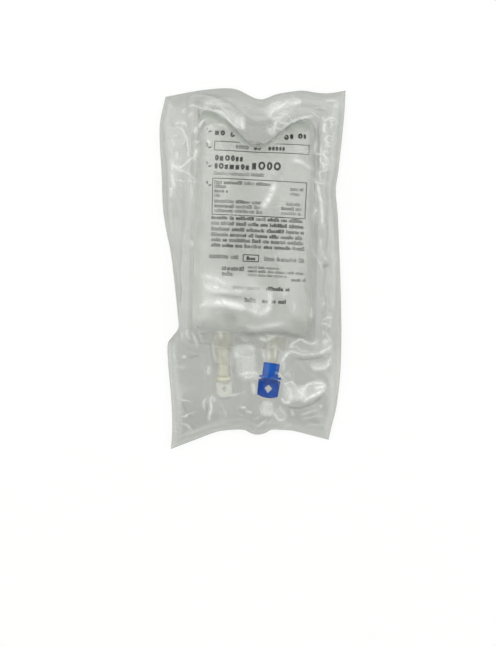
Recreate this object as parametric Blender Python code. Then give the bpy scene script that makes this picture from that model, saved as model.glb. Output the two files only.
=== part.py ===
"""A filled 500 ml infusion bag, sealed in its clear overwrap and lying on its back.

Metres. X runs across the bag, Y towards its hanging end, Z up from the table. The origin is under
the middle of the overwrap. The bag has a frame of its own: a runs across it and b along it, from
the middle of the chamber, and the whole bag lies slightly turned in the overwrap.
"""

import math
from collections import namedtuple

import bmesh
import bpy
from mathutils import Matrix, Vector

# Bag
CHAMBER_WIDTH = 0.101
CHAMBER_FOOT = 0.095
SHOULDER_REACH = 0.0915
SHOULDER_SLOPE = -0.08
FOOT_SLOPE = -0.038
DIP_DEPTH = 0.027
DIP_WIDTH = 0.023
FILL_HEIGHT = 0.0384
SIDE_SEAM_HEIGHT = 0.0135
SIDE_SEAL = 0.0032
FOOT_SEAL = 0.011
HEAD_SEAL = 0.005
SEAL_CORNER = 0.0028
BAG_FILM = 0.0004
BAG_TURN = math.radians(-1.6)
BAG_OFFSET_X = 0.0016

# Hanging flap above the dip, and the slot in it
FLAP_LEFT = -0.0111
FLAP_RIGHT = 0.0119
FLAP_LENGTH = 0.0225
FLAP_SPREAD = 2.1
FLAP_END_HEIGHT = 0.0026
FLAP_CORNER_SHARE = 0.92
FLAP_DROP_RATE = 1.2
SLOT_LENGTH = 0.016
SLOT_WIDTH = 0.005
SLOT_SHARE = 0.66

# Overwrap
WRAP_FILM = 0.00025
TOP_MARGIN = 0.0162
END_MARGIN = 0.0398
LEFT_TOP_MARGIN = 0.0213
RIGHT_TOP_MARGIN = 0.023
LEFT_FOOT_MARGIN = 0.0168
RIGHT_FOOT_MARGIN = 0.0088
HEAD_CORNER_RISE = 0.0026
FOOT_CORNER_RISE = 0.0039
EDGE_LIFT = 0.0040
EDGE_WAVE = 0.0022
EDGE_CURL = 0.012
RIM_WAVES = ((9.0, 5.0, 0.0, 1.0), (17.0, -11.0, 1.3, 0.7))
WRAP_LOFT = 0.0034

# How the overwrap drapes: how far it stands off the bag and the ports, and how it falls beside them
COVER_SIDE_SLACK = 0.0085
COVER_HEAD_SLACK = 0.0075
COVER_FOOT_SLACK = 0.008
COVER_DIP_DEPTH = 0.019
COVER_DIP_WIDTH = 0.0207
COVER_FALL_POWER = 0.58
TENT_WIDTH = 0.0105
TENT_POWER = 0.75
TENT_BEFORE = 0.03
TENT_RISE = 0.02
TENT_FALL = 0.046
CREST_CLEARANCE = 0.0012
PORT_BLEND = 0.002
FLOOR_BLEND = 0.0015

# Ports
PORT_REACH = 0.0528
PORT_SPACING = 0.0452
INJECTION_PORT_A = -0.0247
INJECTION_PORT_TURN = math.radians(2.3)
INFUSION_PORT_TURN = math.radians(-8.0)
BOAT_WIDTH = 0.0184
BOAT_THICKNESS = 0.0082
BOAT_LENGTH = 0.0116
BORE_RADIUS = 0.0029
BORE_STEP_START = 0.0015
BORE_STEP_END = 0.003
TUBE_WALL = 0.0010
TUBE_SHOULDER = 0.0006
COLLAR_RADIUS = 0.0069
COLLAR_LENGTH = 0.0113
COLLAR_CHAMFER = 0.0007
COLLAR_DRAFT = 0.0002
COLLAR_LIP = 0.0016
FLANGE_RADIUS = 0.0093
FLANGE_THICKNESS = 0.0018
INFUSION_TUBE_RADIUS = 0.0046
INFUSION_ROOT_RADIUS = 0.0040
MEMBRANE_THICKNESS = 0.0035
INJECTION_TUBE_RADIUS = 0.0062
INJECTION_NECK_RADIUS = 0.0058
INJECTION_ROOT_RADIUS = 0.0034
INJECTION_TUBE_LENGTH = 0.0253
NECK_TAPER_START = 0.003
NECK_TAPER_END = 0.0005
STOPPER_LENGTH = 0.0105
STOPPER_CHAMFER = 0.0008
RING_RADIUS = 0.0061
RING_LENGTH = 0.0031
RING_LIP = 0.0005
RING_GROOVE = 0.0005

# Snap-off tabs: a disc at the root that breaks off, and a flat paddle with a kite-shaped hole
TAB_THICKNESS = 0.0028
TAB_BEVEL = 0.0005
TAB_ROOT_CORNER = 0.0012
INJECTION_TAB_WIDTH = 0.0132
INJECTION_TAB_END_WIDTH = 0.0134
INJECTION_TAB_LENGTH = 0.0128
INJECTION_TAB_CORNER = 0.0026
INJECTION_TAB_BOW = 0.0005
INJECTION_DISC_RADIUS = 0.0048
INJECTION_DISC_LENGTH = 0.0012
INJECTION_KITE_WIDTH = 0.0048
INJECTION_KITE_LENGTH = 0.0060
INFUSION_TAB_WIDTH = 0.0184
INFUSION_TAB_END_WIDTH = 0.0174
INFUSION_TAB_LENGTH = 0.0162
INFUSION_TAB_CORNER = 0.0014
INFUSION_TAB_BOW = 0.0014
INFUSION_DISC_RADIUS = 0.0071
INFUSION_DISC_LENGTH = 0.0018
INFUSION_KITE_WIDTH = 0.0066
INFUSION_KITE_LENGTH = 0.0071
KITE_PLACE_SHARE = 0.50
KITE_SHOULDER_SHARE = 0.43

# Clearances between pieces that touch, and how far a cutter runs past what it cuts
GAP = 0.0003
WRAP_CLEARANCE = 0.0014
ROOT_CLEARANCE = 0.001
CUT_PAST = 0.002
FLUID_START = -0.009

# Shape of the pillow: how blunt its sides and ends are, how round its corners, how wide it rests
SIDE_BLUNTNESS = 2.6
END_BLUNTNESS = 4.0
CORNER_POWER = 4.0
REST_SHARE = 0.45

# Edges of the overwrap, as (share of the edge, outward offset), each from its first corner
HEAD_EDGE = (
    (0.09, 0.0023), (0.19, 0.0045), (0.33, 0.0056), (0.40, 0.0040), (0.49, -0.0031), (0.53, -0.0047),
    (0.565, -0.0037), (0.61, -0.0011), (0.66, 0.0002), (0.76, 0.0014), (0.84, -0.0009), (0.91, -0.0017),
)
RIGHT_EDGE = (
    (0.08, -0.0002), (0.23, -0.0027), (0.285, -0.0041), (0.36, -0.0013), (0.59, 0.0045),
    (0.78, 0.0071), (0.90, 0.0054), (0.97, 0.0015),
)
FOOT_EDGE = (
    (0.156, -0.0067), (0.296, -0.0124), (0.381, -0.0132), (0.465, -0.0125), (0.505, -0.0096),
    (0.549, -0.0079), (0.60, -0.0089), (0.634, -0.0112), (0.695, -0.0107), (0.774, -0.0093),
    (0.887, -0.0047),
)
LEFT_EDGE = (
    (0.083, 0.0052), (0.22, 0.0042), (0.317, 0.0035), (0.375, 0.0013), (0.44, -0.0023),
    (0.52, -0.0050), (0.62, -0.0076), (0.65, -0.0082), (0.662, -0.0071), (0.678, -0.0034),
    (0.694, 0.0004), (0.71, 0.0015), (0.76, 0.0011), (0.87, -0.0012), (0.95, -0.0014),
)

# Main folds of the overwrap's front, in the bag's frame
Fold = namedtuple("Fold", "start end rise spread")
FOLDS = (
    Fold((-0.049, 0.097), (-0.020, 0.084), 0.0022, 0.0042),
    Fold((-0.042, 0.108), (-0.014, 0.096), 0.0016, 0.0040),
    Fold((0.012, 0.076), (0.026, 0.108), 0.0020, 0.0042),
    Fold((-0.073, 0.074), (-0.056, 0.082), 0.0020, 0.0040),
    Fold((-0.071, 0.046), (-0.057, 0.066), 0.0017, 0.0042),
    Fold((-0.068, 0.012), (-0.058, 0.034), 0.0014, 0.0042),
    Fold((0.057, 0.079), (0.068, 0.070), 0.0018, 0.0038),
    Fold((0.057, 0.056), (0.066, 0.046), 0.0016, 0.0038),
    Fold((0.030, -0.112), (0.068, -0.102), 0.0024, 0.0045),
    Fold((0.030, -0.136), (0.064, -0.140), 0.0026, 0.0048),
    Fold((0.026, -0.148), (0.052, -0.143), -0.0012, 0.0045),
    Fold((-0.034, -0.146), (-0.030, -0.168), 0.0018, 0.0042),
    Fold((0.022, -0.160), (0.036, -0.172), 0.0014, 0.0042),
    Fold((-0.052, -0.122), (-0.030, -0.112), -0.0012, 0.0050),
)

# Steps of the bag's films, as shares of the chamber's half width and half length
SIDE_COLUMNS = (0.70, 0.80, 0.88, 0.935, 0.97, 1.0)
PORT_COLUMNS = (-1.0, -0.5, 0.0, 0.5, 1.0)
ROWS = (
    -1.0, -0.97, -0.93, -0.87, -0.78, -0.65, -0.48, -0.28, -0.07,
    0.14, 0.34, 0.52, 0.67, 0.79, 0.88, 0.94, 0.97, 1.0,
)
LEAST_COLUMN_STEP = 0.0019
FLUID_REACH = 0.97
FLAP_ROWS = 4
ROUNDED_FROM = 0.985
STEEPEST = 2.4
SLOPE_STEP = 0.0004

# Steps of the overwrap and of the turned pieces
WRAP_COLUMNS = 26
WRAP_ROWS = 47
REST_COLUMNS = 20
REST_ROWS = 38
REST_RINGS = (0.0, 0.25, 0.55, 1.0)
TURNED_STEPS = 24
BOAT_STEPS = 6
SLOT_STEPS = 6
CORNER_STEPS = 4
BOW_STEPS = 8
SHARP_ANGLE = math.radians(35)
RIM_ANGLE = math.radians(60)
MERGE_DISTANCE = 1e-6

# Heights and places worked out from the sizes above
CHAMBER_HALF = CHAMBER_WIDTH / 2
WRAP_FLOOR = WRAP_FILM + GAP
PORT_HEIGHT = WRAP_FLOOR + FLANGE_RADIUS
BAG_REST = WRAP_FLOOR
TOP_REACH = SHOULDER_REACH + TOP_MARGIN
FOOT_REACH = CHAMBER_FOOT + PORT_REACH + END_MARGIN
BAG_OFFSET_Y = (FOOT_REACH - TOP_REACH) / 2
INFUSION_PORT_A = INJECTION_PORT_A + PORT_SPACING
INFUSION_FLANGE_AT = PORT_REACH - INFUSION_TAB_LENGTH - FLANGE_THICKNESS - 2 * GAP
INFUSION_TUBE_END = INFUSION_FLANGE_AT - MEMBRANE_THICKNESS - 2 * GAP
INJECTION_TUBE_END = BOAT_LENGTH + INJECTION_TUBE_LENGTH
HEAD_ROW = len(ROWS) + 2

TabShape = namedtuple(
    "TabShape", "width end_width length corner bow disc_radius disc_length kite_width kite_length"
)
Finish = namedtuple("Finish", "colour roughness metallic transmission")
FINISHES = {
    "overwrap film": Finish((0.55, 0.58, 0.55), 0.20, 0.0, 0.6),
    "bag film": Finish((0.60, 0.63, 0.60), 0.25, 0.0, 0.6),
    "saline": Finish((0.75, 0.80, 0.78), 0.02, 0.0, 0.9),
    "clear port plastic": Finish((0.72, 0.72, 0.66), 0.20, 0.0, 0.5),
    "cream rubber": Finish((0.60, 0.56, 0.42), 0.55, 0.0, 0.0),
    "ivory plastic": Finish((0.52, 0.49, 0.35), 0.40, 0.0, 0.0),
    "white plastic": Finish((0.62, 0.64, 0.60), 0.35, 0.0, 0.0),
    "blue collar plastic": Finish((0.012, 0.10, 0.48), 0.35, 0.0, 0.0),
    "blue tab plastic": Finish((0.005, 0.053, 0.37), 0.35, 0.0, 0.0),
}


def clamp(value, low=0.0, high=1.0):
    """The value, held between two limits."""
    return min(max(value, low), high)


def mix(start, end, share):
    """The value a share of the way from start to end."""
    return start + (end - start) * share


def smooth_step(value):
    """Eases from 0 to 1, held at its ends."""
    value = clamp(value)
    return value * value * (3 - 2 * value)


def soft_maximum(first, second, softness):
    """The larger of two heights, with a rounded passage between them."""
    return (first + second + math.hypot(first - second, softness)) / 2


def to_world(a, b):
    """A place on the bag, in the world."""
    turned = Matrix.Rotation(BAG_TURN, 2) @ Vector((a, b))
    return Vector((turned.x + BAG_OFFSET_X, turned.y + BAG_OFFSET_Y))


def to_bag(x, y):
    """A place in the world, on the bag."""
    return Matrix.Rotation(-BAG_TURN, 2) @ Vector((x - BAG_OFFSET_X, y - BAG_OFFSET_Y))


# Form of the bag


def chamber_head(a):
    """End of the chamber at the hanging end, which dips between its shoulders."""
    return SHOULDER_REACH + SHOULDER_SLOPE * a - DIP_DEPTH * math.exp(-((a / DIP_WIDTH) ** 2))


def chamber_foot(a):
    """End of the chamber at the ports, as a negative place along the bag."""
    return -CHAMBER_FOOT + FOOT_SLOPE * a


def along_chamber(a, b):
    """Share of the way from the middle of the chamber to its end: -1 at the foot, 1 at the head."""
    return b / chamber_head(a) if b >= 0 else -b / chamber_foot(a)


def fullness(a, b):
    """1 in the middle of the chamber, falling to 0 at its seal."""
    across = clamp(abs(a) / CHAMBER_HALF) ** (SIDE_BLUNTNESS * CORNER_POWER)
    along = clamp(abs(along_chamber(a, b))) ** (END_BLUNTNESS * CORNER_POWER)
    return max(0.0, 1 - (across + along) ** (1 / CORNER_POWER))


def seam_height(a, b):
    """Height of the weld: the sides ride up on the full chamber, the ends stay at the ports' height."""
    return mix(SIDE_SEAM_HEIGHT, PORT_HEIGHT, clamp(abs(along_chamber(a, b))) ** 2)


def port_bulge(a, b):
    """How far each film stands off the seam to pass round the ports' boats."""
    half_height = BOAT_THICKNESS / 2 + 2 * GAP
    half_width = BOAT_WIDTH / 2 + 2 * GAP
    most = 0.0
    for place, turn in ((INJECTION_PORT_A, INJECTION_PORT_TURN), (INFUSION_PORT_A, INFUSION_PORT_TURN)):
        axis = place + math.tan(turn + BAG_TURN) * (chamber_foot(place) - b)
        inside = (b - chamber_foot(a)) / (2 * FOOT_SEAL)
        most = max(most, half_height * (1 - ((a - axis) / half_width) ** 2) * (1 - smooth_step(inside)))
    return most


def bag_top(a, b):
    """Outer face of the bag's front film."""
    rise = (FILL_HEIGHT - SIDE_SEAM_HEIGHT) * math.sqrt(fullness(a, b))
    return seam_height(a, b) + GAP / 2 + BAG_FILM + max(rise, port_bulge(a, b))


def bag_underside(a, b):
    """Outer face of the bag's back film, flat where the full bag rests."""
    sunk = 1 - clamp(fullness(a, b) / REST_SHARE)
    depth = seam_height(a, b) - GAP / 2 - BAG_FILM - BAG_REST
    return BAG_REST + depth - max(depth * math.sqrt(1 - sunk * sunk), port_bulge(a, b))


def steepness(height, a, b):
    """Length of a surface's slope for each unit across, which keeps a film's thickness on a slope."""
    slope_a = (height(a + SLOPE_STEP, b) - height(a - SLOPE_STEP, b)) / (2 * SLOPE_STEP)
    slope_b = (height(a, b + SLOPE_STEP) - height(a, b - SLOPE_STEP)) / (2 * SLOPE_STEP)
    return clamp(math.sqrt(1 + slope_a**2 + slope_b**2), 1.0, STEEPEST)


def film_inside(outer, direction, a, b):
    """Height of a film's inner face. Direction is 1 for the front film, -1 for the back one."""
    inner = outer(a, b) - direction * BAG_FILM * steepness(outer, a, b)
    weld = seam_height(a, b) + direction * (GAP / 2 + port_bulge(a, b))
    if fullness(a, b) == 0:
        return weld
    return max(inner, weld) if direction > 0 else min(inner, weld)


def chamber_place(across, along):
    """Place in the bag's frame for shares of the chamber, with its corners rounded."""
    narrowed = (1 - min(abs(along), ROUNDED_FROM) ** (END_BLUNTNESS * CORNER_POWER)) ** (
        1 / (SIDE_BLUNTNESS * CORNER_POWER)
    )
    a = across * CHAMBER_HALF * narrowed
    return a, along * (chamber_head(a) if along >= 0 else -chamber_foot(a))


# Form of the overwrap


def wrap_corners():
    """The overwrap's four corners, from the bag's size and the margins round it."""
    half = CHAMBER_HALF + SIDE_SEAL
    head, foot = BAG_OFFSET_Y + TOP_REACH, BAG_OFFSET_Y - FOOT_REACH
    return {
        "head left": Vector((BAG_OFFSET_X - half - LEFT_TOP_MARGIN, head - HEAD_CORNER_RISE)),
        "head right": Vector((BAG_OFFSET_X + half + RIGHT_TOP_MARGIN, head + HEAD_CORNER_RISE)),
        "foot left": Vector((BAG_OFFSET_X - half - LEFT_FOOT_MARGIN, foot - FOOT_CORNER_RISE)),
        "foot right": Vector((BAG_OFFSET_X + half + RIGHT_FOOT_MARGIN, foot + FOOT_CORNER_RISE)),
    }


def wavy_edge(start, end, offsets, outward):
    """Points of a smooth edge from start to end, pushed outward by the offsets along it."""
    shares = [0.0] + [share for share, _ in offsets] + [1.0]
    pushes = [0.0] + [push for _, push in offsets] + [0.0]

    def place(share):
        share = clamp(share)
        index = max(i for i in range(len(shares) - 1) if shares[i] <= share or i == 0)
        width = shares[index + 1] - shares[index]
        local = (share - shares[index]) / width

        def slope(i):
            low, high = max(i - 1, 0), min(i + 1, len(shares) - 1)
            return (pushes[high] - pushes[low]) / (shares[high] - shares[low]) * width

        square, cube = local**2, local**3
        push = (
            pushes[index] * (2 * cube - 3 * square + 1)
            + slope(index) * (cube - 2 * square + local)
            + pushes[index + 1] * (3 * square - 2 * cube)
            + slope(index + 1) * (cube - square)
        )
        return start.lerp(end, share) + outward * push

    return place


def wrap_patch():
    """The overwrap's outline as a patch: shares across and along give a place in the world."""
    corner = wrap_corners()
    head = wavy_edge(corner["head left"], corner["head right"], HEAD_EDGE, Vector((0, 1)))
    foot = wavy_edge(corner["foot left"], corner["foot right"], FOOT_EDGE, Vector((0, -1)))
    left = wavy_edge(corner["head left"], corner["foot left"], LEFT_EDGE, Vector((-1, 0)))
    right = wavy_edge(corner["head right"], corner["foot right"], RIGHT_EDGE, Vector((1, 0)))

    def place(across, along):
        ruled = foot(across).lerp(head(across), along) + left(1 - along).lerp(right(1 - along), across)
        flat_foot = corner["foot left"].lerp(corner["foot right"], across)
        flat_head = corner["head left"].lerp(corner["head right"], across)
        return ruled - flat_foot.lerp(flat_head, along)

    return place


def edge_inset(across, along):
    """How far inside the overwrap's edge a place on it is, in metres."""
    width = CHAMBER_WIDTH + LEFT_TOP_MARGIN + RIGHT_TOP_MARGIN
    length = TOP_REACH + FOOT_REACH
    return min(min(across, 1 - across) * width, min(along, 1 - along) * length)


def edge_lift(across, along):
    """Height of the overwrap's seal above the table, which waves along it."""
    height = EDGE_LIFT
    for turns_along, turns_across, start, share in RIM_WAVES:
        wave = math.sin(turns_along * along + turns_across * across + start)
        height += EDGE_WAVE * share * wave / sum(part[-1] for part in RIM_WAVES)
    return height


def back_height(across, along):
    """Underside of the overwrap: flat on the table, curling up to the seal."""
    curl = 1 - clamp(edge_inset(across, along) / EDGE_CURL)
    return edge_lift(across, along) * curl * curl


def bag_cover(a, b):
    """The overwrap drawn over the chamber, wider than it and slack at its sides."""
    reach_a = CHAMBER_HALF + SIDE_SEAL + COVER_SIDE_SLACK
    dip = COVER_DIP_DEPTH * math.exp(-((a / COVER_DIP_WIDTH) ** 2))
    reach_b = SHOULDER_REACH + HEAD_SEAL + COVER_HEAD_SLACK + SHOULDER_SLOPE * a - dip
    foot = -chamber_foot(a) + FOOT_SEAL + COVER_FOOT_SLACK
    across = clamp(abs(a) / reach_a) ** (SIDE_BLUNTNESS * CORNER_POWER)
    along = clamp(abs(b / reach_b if b >= 0 else b / foot)) ** (END_BLUNTNESS * CORNER_POWER)
    full = max(0.0, 1 - (across + along) ** (1 / CORNER_POWER))
    return (FILL_HEIGHT + BAG_FILM + WRAP_CLEARANCE + WRAP_FILM) * full**COVER_FALL_POWER


def port_cover(x, y, port):
    """The overwrap drawn over one port, falling off past its tab."""
    offset = Vector((x, y)) - port.root
    along = offset.dot(port.direction)
    beside = offset.dot(Vector((port.direction.y, -port.direction.x)))
    top = PORT_HEIGHT + port.widest + WRAP_CLEARANCE + WRAP_FILM
    past = smooth_step((along - port.flange_at) / TENT_FALL)
    ridge = top * (1 - past) * smooth_step((along + TENT_BEFORE) / TENT_RISE)
    return ridge * clamp(1 - (beside / (port.widest + TENT_WIDTH)) ** 2) ** TENT_POWER


def folds(a, b):
    """Height of the main folds at a place on the bag."""
    height = 0.0
    here = Vector((a, b))
    for fold in FOLDS:
        start, end = Vector(fold.start), Vector(fold.end)
        line = end - start
        share = clamp((here - start).dot(line) / line.length_squared)
        distance = (here - start - line * share).length
        height += fold.rise * math.exp(-((distance / fold.spread) ** 2))
    return height


def front_height(x, y, across, along, ports):
    """Top of the overwrap's front film."""
    inset = smooth_step(edge_inset(across, along) / EDGE_CURL)
    floor = back_height(across, along) + WRAP_FLOOR + WRAP_FILM + WRAP_LOFT * inset
    a, b = to_bag(x, y)
    cover = bag_cover(a, b)
    for port in ports:
        cover = soft_maximum(cover, port_cover(x, y, port), PORT_BLEND)
    return soft_maximum(floor, cover, FLOOR_BLEND) + (folds(a, b) + CREST_CLEARANCE) * inset


# Meshes


def material(name):
    """The material of a finish, made once."""
    existing = bpy.data.materials.get(name)
    if existing:
        return existing
    finish = FINISHES[name]
    made = bpy.data.materials.new(name)
    made.use_nodes = True
    shader = made.node_tree.nodes["Principled BSDF"]
    shader.inputs["Base Color"].default_value = (*finish.colour, 1.0)
    shader.inputs["Roughness"].default_value = finish.roughness
    shader.inputs["Metallic"].default_value = finish.metallic
    shader.inputs["Transmission Weight"].default_value = finish.transmission
    return made


def add_object(name, mesh_maker, finish=None, parent=None, smooth=True):
    """A new object from a bmesh, shaded smooth, with its finish and its parent."""
    mesh = bpy.data.meshes.new(name)
    mesh_maker.to_mesh(mesh)
    mesh_maker.free()
    if smooth:
        mesh.shade_smooth()
        mesh.set_sharp_from_angle(angle=SHARP_ANGLE)
    made = bpy.data.objects.new(name, mesh)
    bpy.context.scene.collection.objects.link(made)
    if finish:
        mesh.materials.append(material(finish))
    made.parent = parent
    return made


def close_grid(mesh_maker, tops, bottoms, cells):
    """Two stacked grids of points joined into one closed sheet. Cells name their four corners."""
    upper = {key: mesh_maker.verts.new(place) for key, place in tops.items()}
    lower = {key: mesh_maker.verts.new(place) for key, place in bottoms.items()}
    sides = {}
    for cell in cells:
        mesh_maker.faces.new([upper[key] for key in cell])
        mesh_maker.faces.new([lower[key] for key in (cell[0], cell[3], cell[2], cell[1])])
        for start, end in zip(cell, cell[1:] + cell[:1]):
            if (end, start) in sides:
                del sides[(end, start)]
            else:
                sides[(start, end)] = True
    for start, end in sides:
        mesh_maker.faces.new((upper[start], lower[start], lower[end], upper[end]))
    loose = [vert for vert in mesh_maker.verts if not vert.link_faces]
    bmesh.ops.delete(mesh_maker, geom=loose, context="VERTS")


def grid_cells(columns, rows):
    """Faces of a grid, each as the keys of its four corners."""
    return [
        ((i, j), (i + 1, j), (i + 1, j + 1), (i, j + 1))
        for j in range(rows)
        for i in range(columns)
    ]


def bag_columns():
    """Shares across the chamber where its films have points: at the sides, the ports and the flap."""
    sides = [side * share * CHAMBER_HALF for side in (-1, 1) for share in SIDE_COLUMNS]
    flap = [FLAP_LEFT, (FLAP_LEFT + FLAP_RIGHT) / 2, FLAP_RIGHT]
    half_width = BOAT_WIDTH / 2 + 2 * GAP
    boats = []
    for place, turn in ((INJECTION_PORT_A, INJECTION_PORT_TURN), (INFUSION_PORT_A, INFUSION_PORT_TURN)):
        axis = place + math.tan(turn + BAG_TURN) * FOOT_SEAL / 2
        boats += [axis + share * half_width for share in PORT_COLUMNS]
    kept = flap[:]
    for place in sides[::-1] + boats:
        if all(abs(place - other) > LEAST_COLUMN_STEP for other in kept) or place in sides:
            kept.append(place)
    return [place / CHAMBER_HALF for place in sorted(kept)]


def bag_lattice(columns):
    """Places of the bag films' points in the bag's frame, seals included."""
    places = {}
    edge = CHAMBER_HALF + SIDE_SEAL
    for i, across in enumerate((None, *columns, None)):
        side = -1 if i == 0 else 1
        foot_a = side * edge if across is None else chamber_place(across, -1.0)[0]
        head_a = side * edge if across is None else chamber_place(across, 1.0)[0]
        places[i, 0] = (foot_a, chamber_foot(foot_a) - FOOT_SEAL)
        places[i, 1] = (foot_a, chamber_foot(foot_a) - FOOT_SEAL / 2)
        for j, along in enumerate(ROWS):
            a, b = chamber_place(0.0 if across is None else across, along)
            if across is None:
                a = side * edge
                b = along * (chamber_head(a) if along >= 0 else -chamber_foot(a))
            places[i, j + 2] = (a, b)
        places[i, HEAD_ROW] = (head_a, chamber_head(head_a) + HEAD_SEAL)
    for i, side in ((0, 1), (len(columns) + 1, -1)):
        for j, inward in ((0, 1), (HEAD_ROW, -1)):
            a, b = places[i, j]
            places[i, j] = (a + side * SEAL_CORNER, b + inward * SEAL_CORNER)
    return places


def flap_span(columns):
    """First and last column of the hanging flap."""
    return tuple(columns.index(place / CHAMBER_HALF) + 1 for place in (FLAP_LEFT, FLAP_RIGHT))


def flap_places(lattice, columns):
    """Places of the hanging flap's points: it fans out from the middle of the head seal."""
    first, last = flap_span(columns)
    middle = (lattice[first, HEAD_ROW][0] + lattice[last, HEAD_ROW][0]) / 2
    end_b = lattice[first, HEAD_ROW][1] + FLAP_LENGTH
    places = {}
    for i in range(first, last + 1):
        foot_a, foot_b = lattice[i, HEAD_ROW]
        corner = FLAP_CORNER_SHARE if i in (first, last) else 1.0
        for row in range(1, FLAP_ROWS + 1):
            share = row / FLAP_ROWS
            a = middle + (foot_a - middle) * mix(1.0, FLAP_SPREAD, smooth_step(share))
            reach = corner if row == FLAP_ROWS else 1.0
            places[i, HEAD_ROW + row] = (a, mix(foot_b, end_b, share * reach))
    cells = [
        ((i, j), (i + 1, j), (i + 1, j + 1), (i, j + 1))
        for i in range(first, last)
        for j in range(HEAD_ROW, HEAD_ROW + FLAP_ROWS)
    ]
    return places, cells


def flap_height(row):
    """Height of the flap's underside: from the head seal down to the overwrap's back."""
    return mix(PORT_HEIGHT, FLAP_END_HEIGHT, smooth_step(FLAP_DROP_RATE * row / FLAP_ROWS))


def slot_cutter(lattice, columns):
    """A guide with round ends that cuts the hanging slot."""
    first, last = flap_span(columns)
    middle = (lattice[first, HEAD_ROW][0] + lattice[last, HEAD_ROW][0]) / 2
    centre = to_world(middle, lattice[first, HEAD_ROW][1] + SLOT_SHARE * FLAP_LENGTH)
    outline = []
    for side in (1, -1):
        for step in range(SLOT_STEPS + 1):
            angle = math.pi * (step / SLOT_STEPS - 0.5)
            outline.append(Vector((
                side * ((SLOT_LENGTH - SLOT_WIDTH) / 2 + SLOT_WIDTH / 2 * math.cos(angle)),
                side * SLOT_WIDTH / 2 * math.sin(angle),
                0,
            )))
    cutter = prism("slot_cutter", outline, FILL_HEIGHT)
    cutter.location = (centre.x, centre.y, 0.0)
    cutter.rotation_euler.z = BAG_TURN
    return cutter


def bag_film(name, outer, direction, columns):
    """One film of the bag with its seals and flap. Direction is 1 for the front, -1 for the back."""
    lattice = bag_lattice(columns)
    flap, flap_cells = flap_places(lattice, columns)
    outsides, insides = {}, {}
    for key, (a, b) in lattice.items():
        x, y = to_world(a, b)
        outsides[key] = (x, y, outer(a, b))
        insides[key] = (x, y, film_inside(outer, direction, a, b))
    for key, (a, b) in flap.items():
        x, y = to_world(a, b)
        seam = flap_height(key[1] - HEAD_ROW)
        insides[key] = (x, y, seam + direction * GAP / 2)
        outsides[key] = (x, y, seam + direction * (GAP / 2 + BAG_FILM))
    mesh_maker = bmesh.new()
    tops, bottoms = (outsides, insides) if direction > 0 else (insides, outsides)
    close_grid(mesh_maker, tops, bottoms, grid_cells(len(columns) + 1, HEAD_ROW) + flap_cells)
    film = add_object(name, mesh_maker, "bag film")
    boolean(film, slot_cutter(lattice, columns), "DIFFERENCE")
    return film


def fluid_body(columns, ports):
    """The saline: it fills the chamber between the films, and the bores of both ports."""
    tops, bottoms = {}, {}
    kept = [across for across in columns if abs(across) <= FLUID_REACH]
    rows = [along for along in ROWS if abs(along) <= FLUID_REACH]
    for i, across in enumerate(kept):
        for j, along in enumerate(rows):
            a, b = chamber_place(across, along)
            x, y = to_world(a, b)
            below = GAP * steepness(bag_top, a, b)
            above = GAP * steepness(bag_underside, a, b)
            tops[i, j] = (x, y, film_inside(bag_top, 1, a, b) - below)
            bottoms[i, j] = (x, y, film_inside(bag_underside, -1, a, b) + above)
    mesh_maker = bmesh.new()
    close_grid(mesh_maker, tops, bottoms, grid_cells(len(kept) - 1, len(rows) - 1))
    fluid = add_object("saline_fluid", mesh_maker, "saline")
    radius = BORE_RADIUS - GAP
    for port in ports:
        profile = ((0, FLUID_START), (radius, FLUID_START), (radius, port.fluid_end), (0, port.fluid_end))
        boolean(fluid, turned("fluid_in_" + port.name, profile, parent=port.empty), "UNION")
    return fluid


def wrap_front(ports):
    """The overwrap's front film, draped over the bag and both ports."""
    patch = wrap_patch()
    tops, bottoms = {}, {}
    for i in range(WRAP_COLUMNS + 1):
        for j in range(WRAP_ROWS + 1):
            across, along = i / WRAP_COLUMNS, j / WRAP_ROWS
            x, y = patch(across, along)
            top = front_height(x, y, across, along, ports)
            tops[i, j] = (x, y, top)
            bottoms[i, j] = (x, y, top - WRAP_FILM)
    mesh_maker = bmesh.new()
    close_grid(mesh_maker, tops, bottoms, grid_cells(WRAP_COLUMNS, WRAP_ROWS))
    return add_object("overwrap_front_film", mesh_maker, "overwrap film")


def rest_perimeter():
    """Shares along the overwrap's rim, once round it."""
    foot = [(i / REST_COLUMNS, 0.0) for i in range(REST_COLUMNS)]
    right = [(1.0, j / REST_ROWS) for j in range(REST_ROWS)]
    head = [(1 - i / REST_COLUMNS, 1.0) for i in range(REST_COLUMNS)]
    left = [(0.0, 1 - j / REST_ROWS) for j in range(REST_ROWS)]
    return foot + right + head + left


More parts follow.
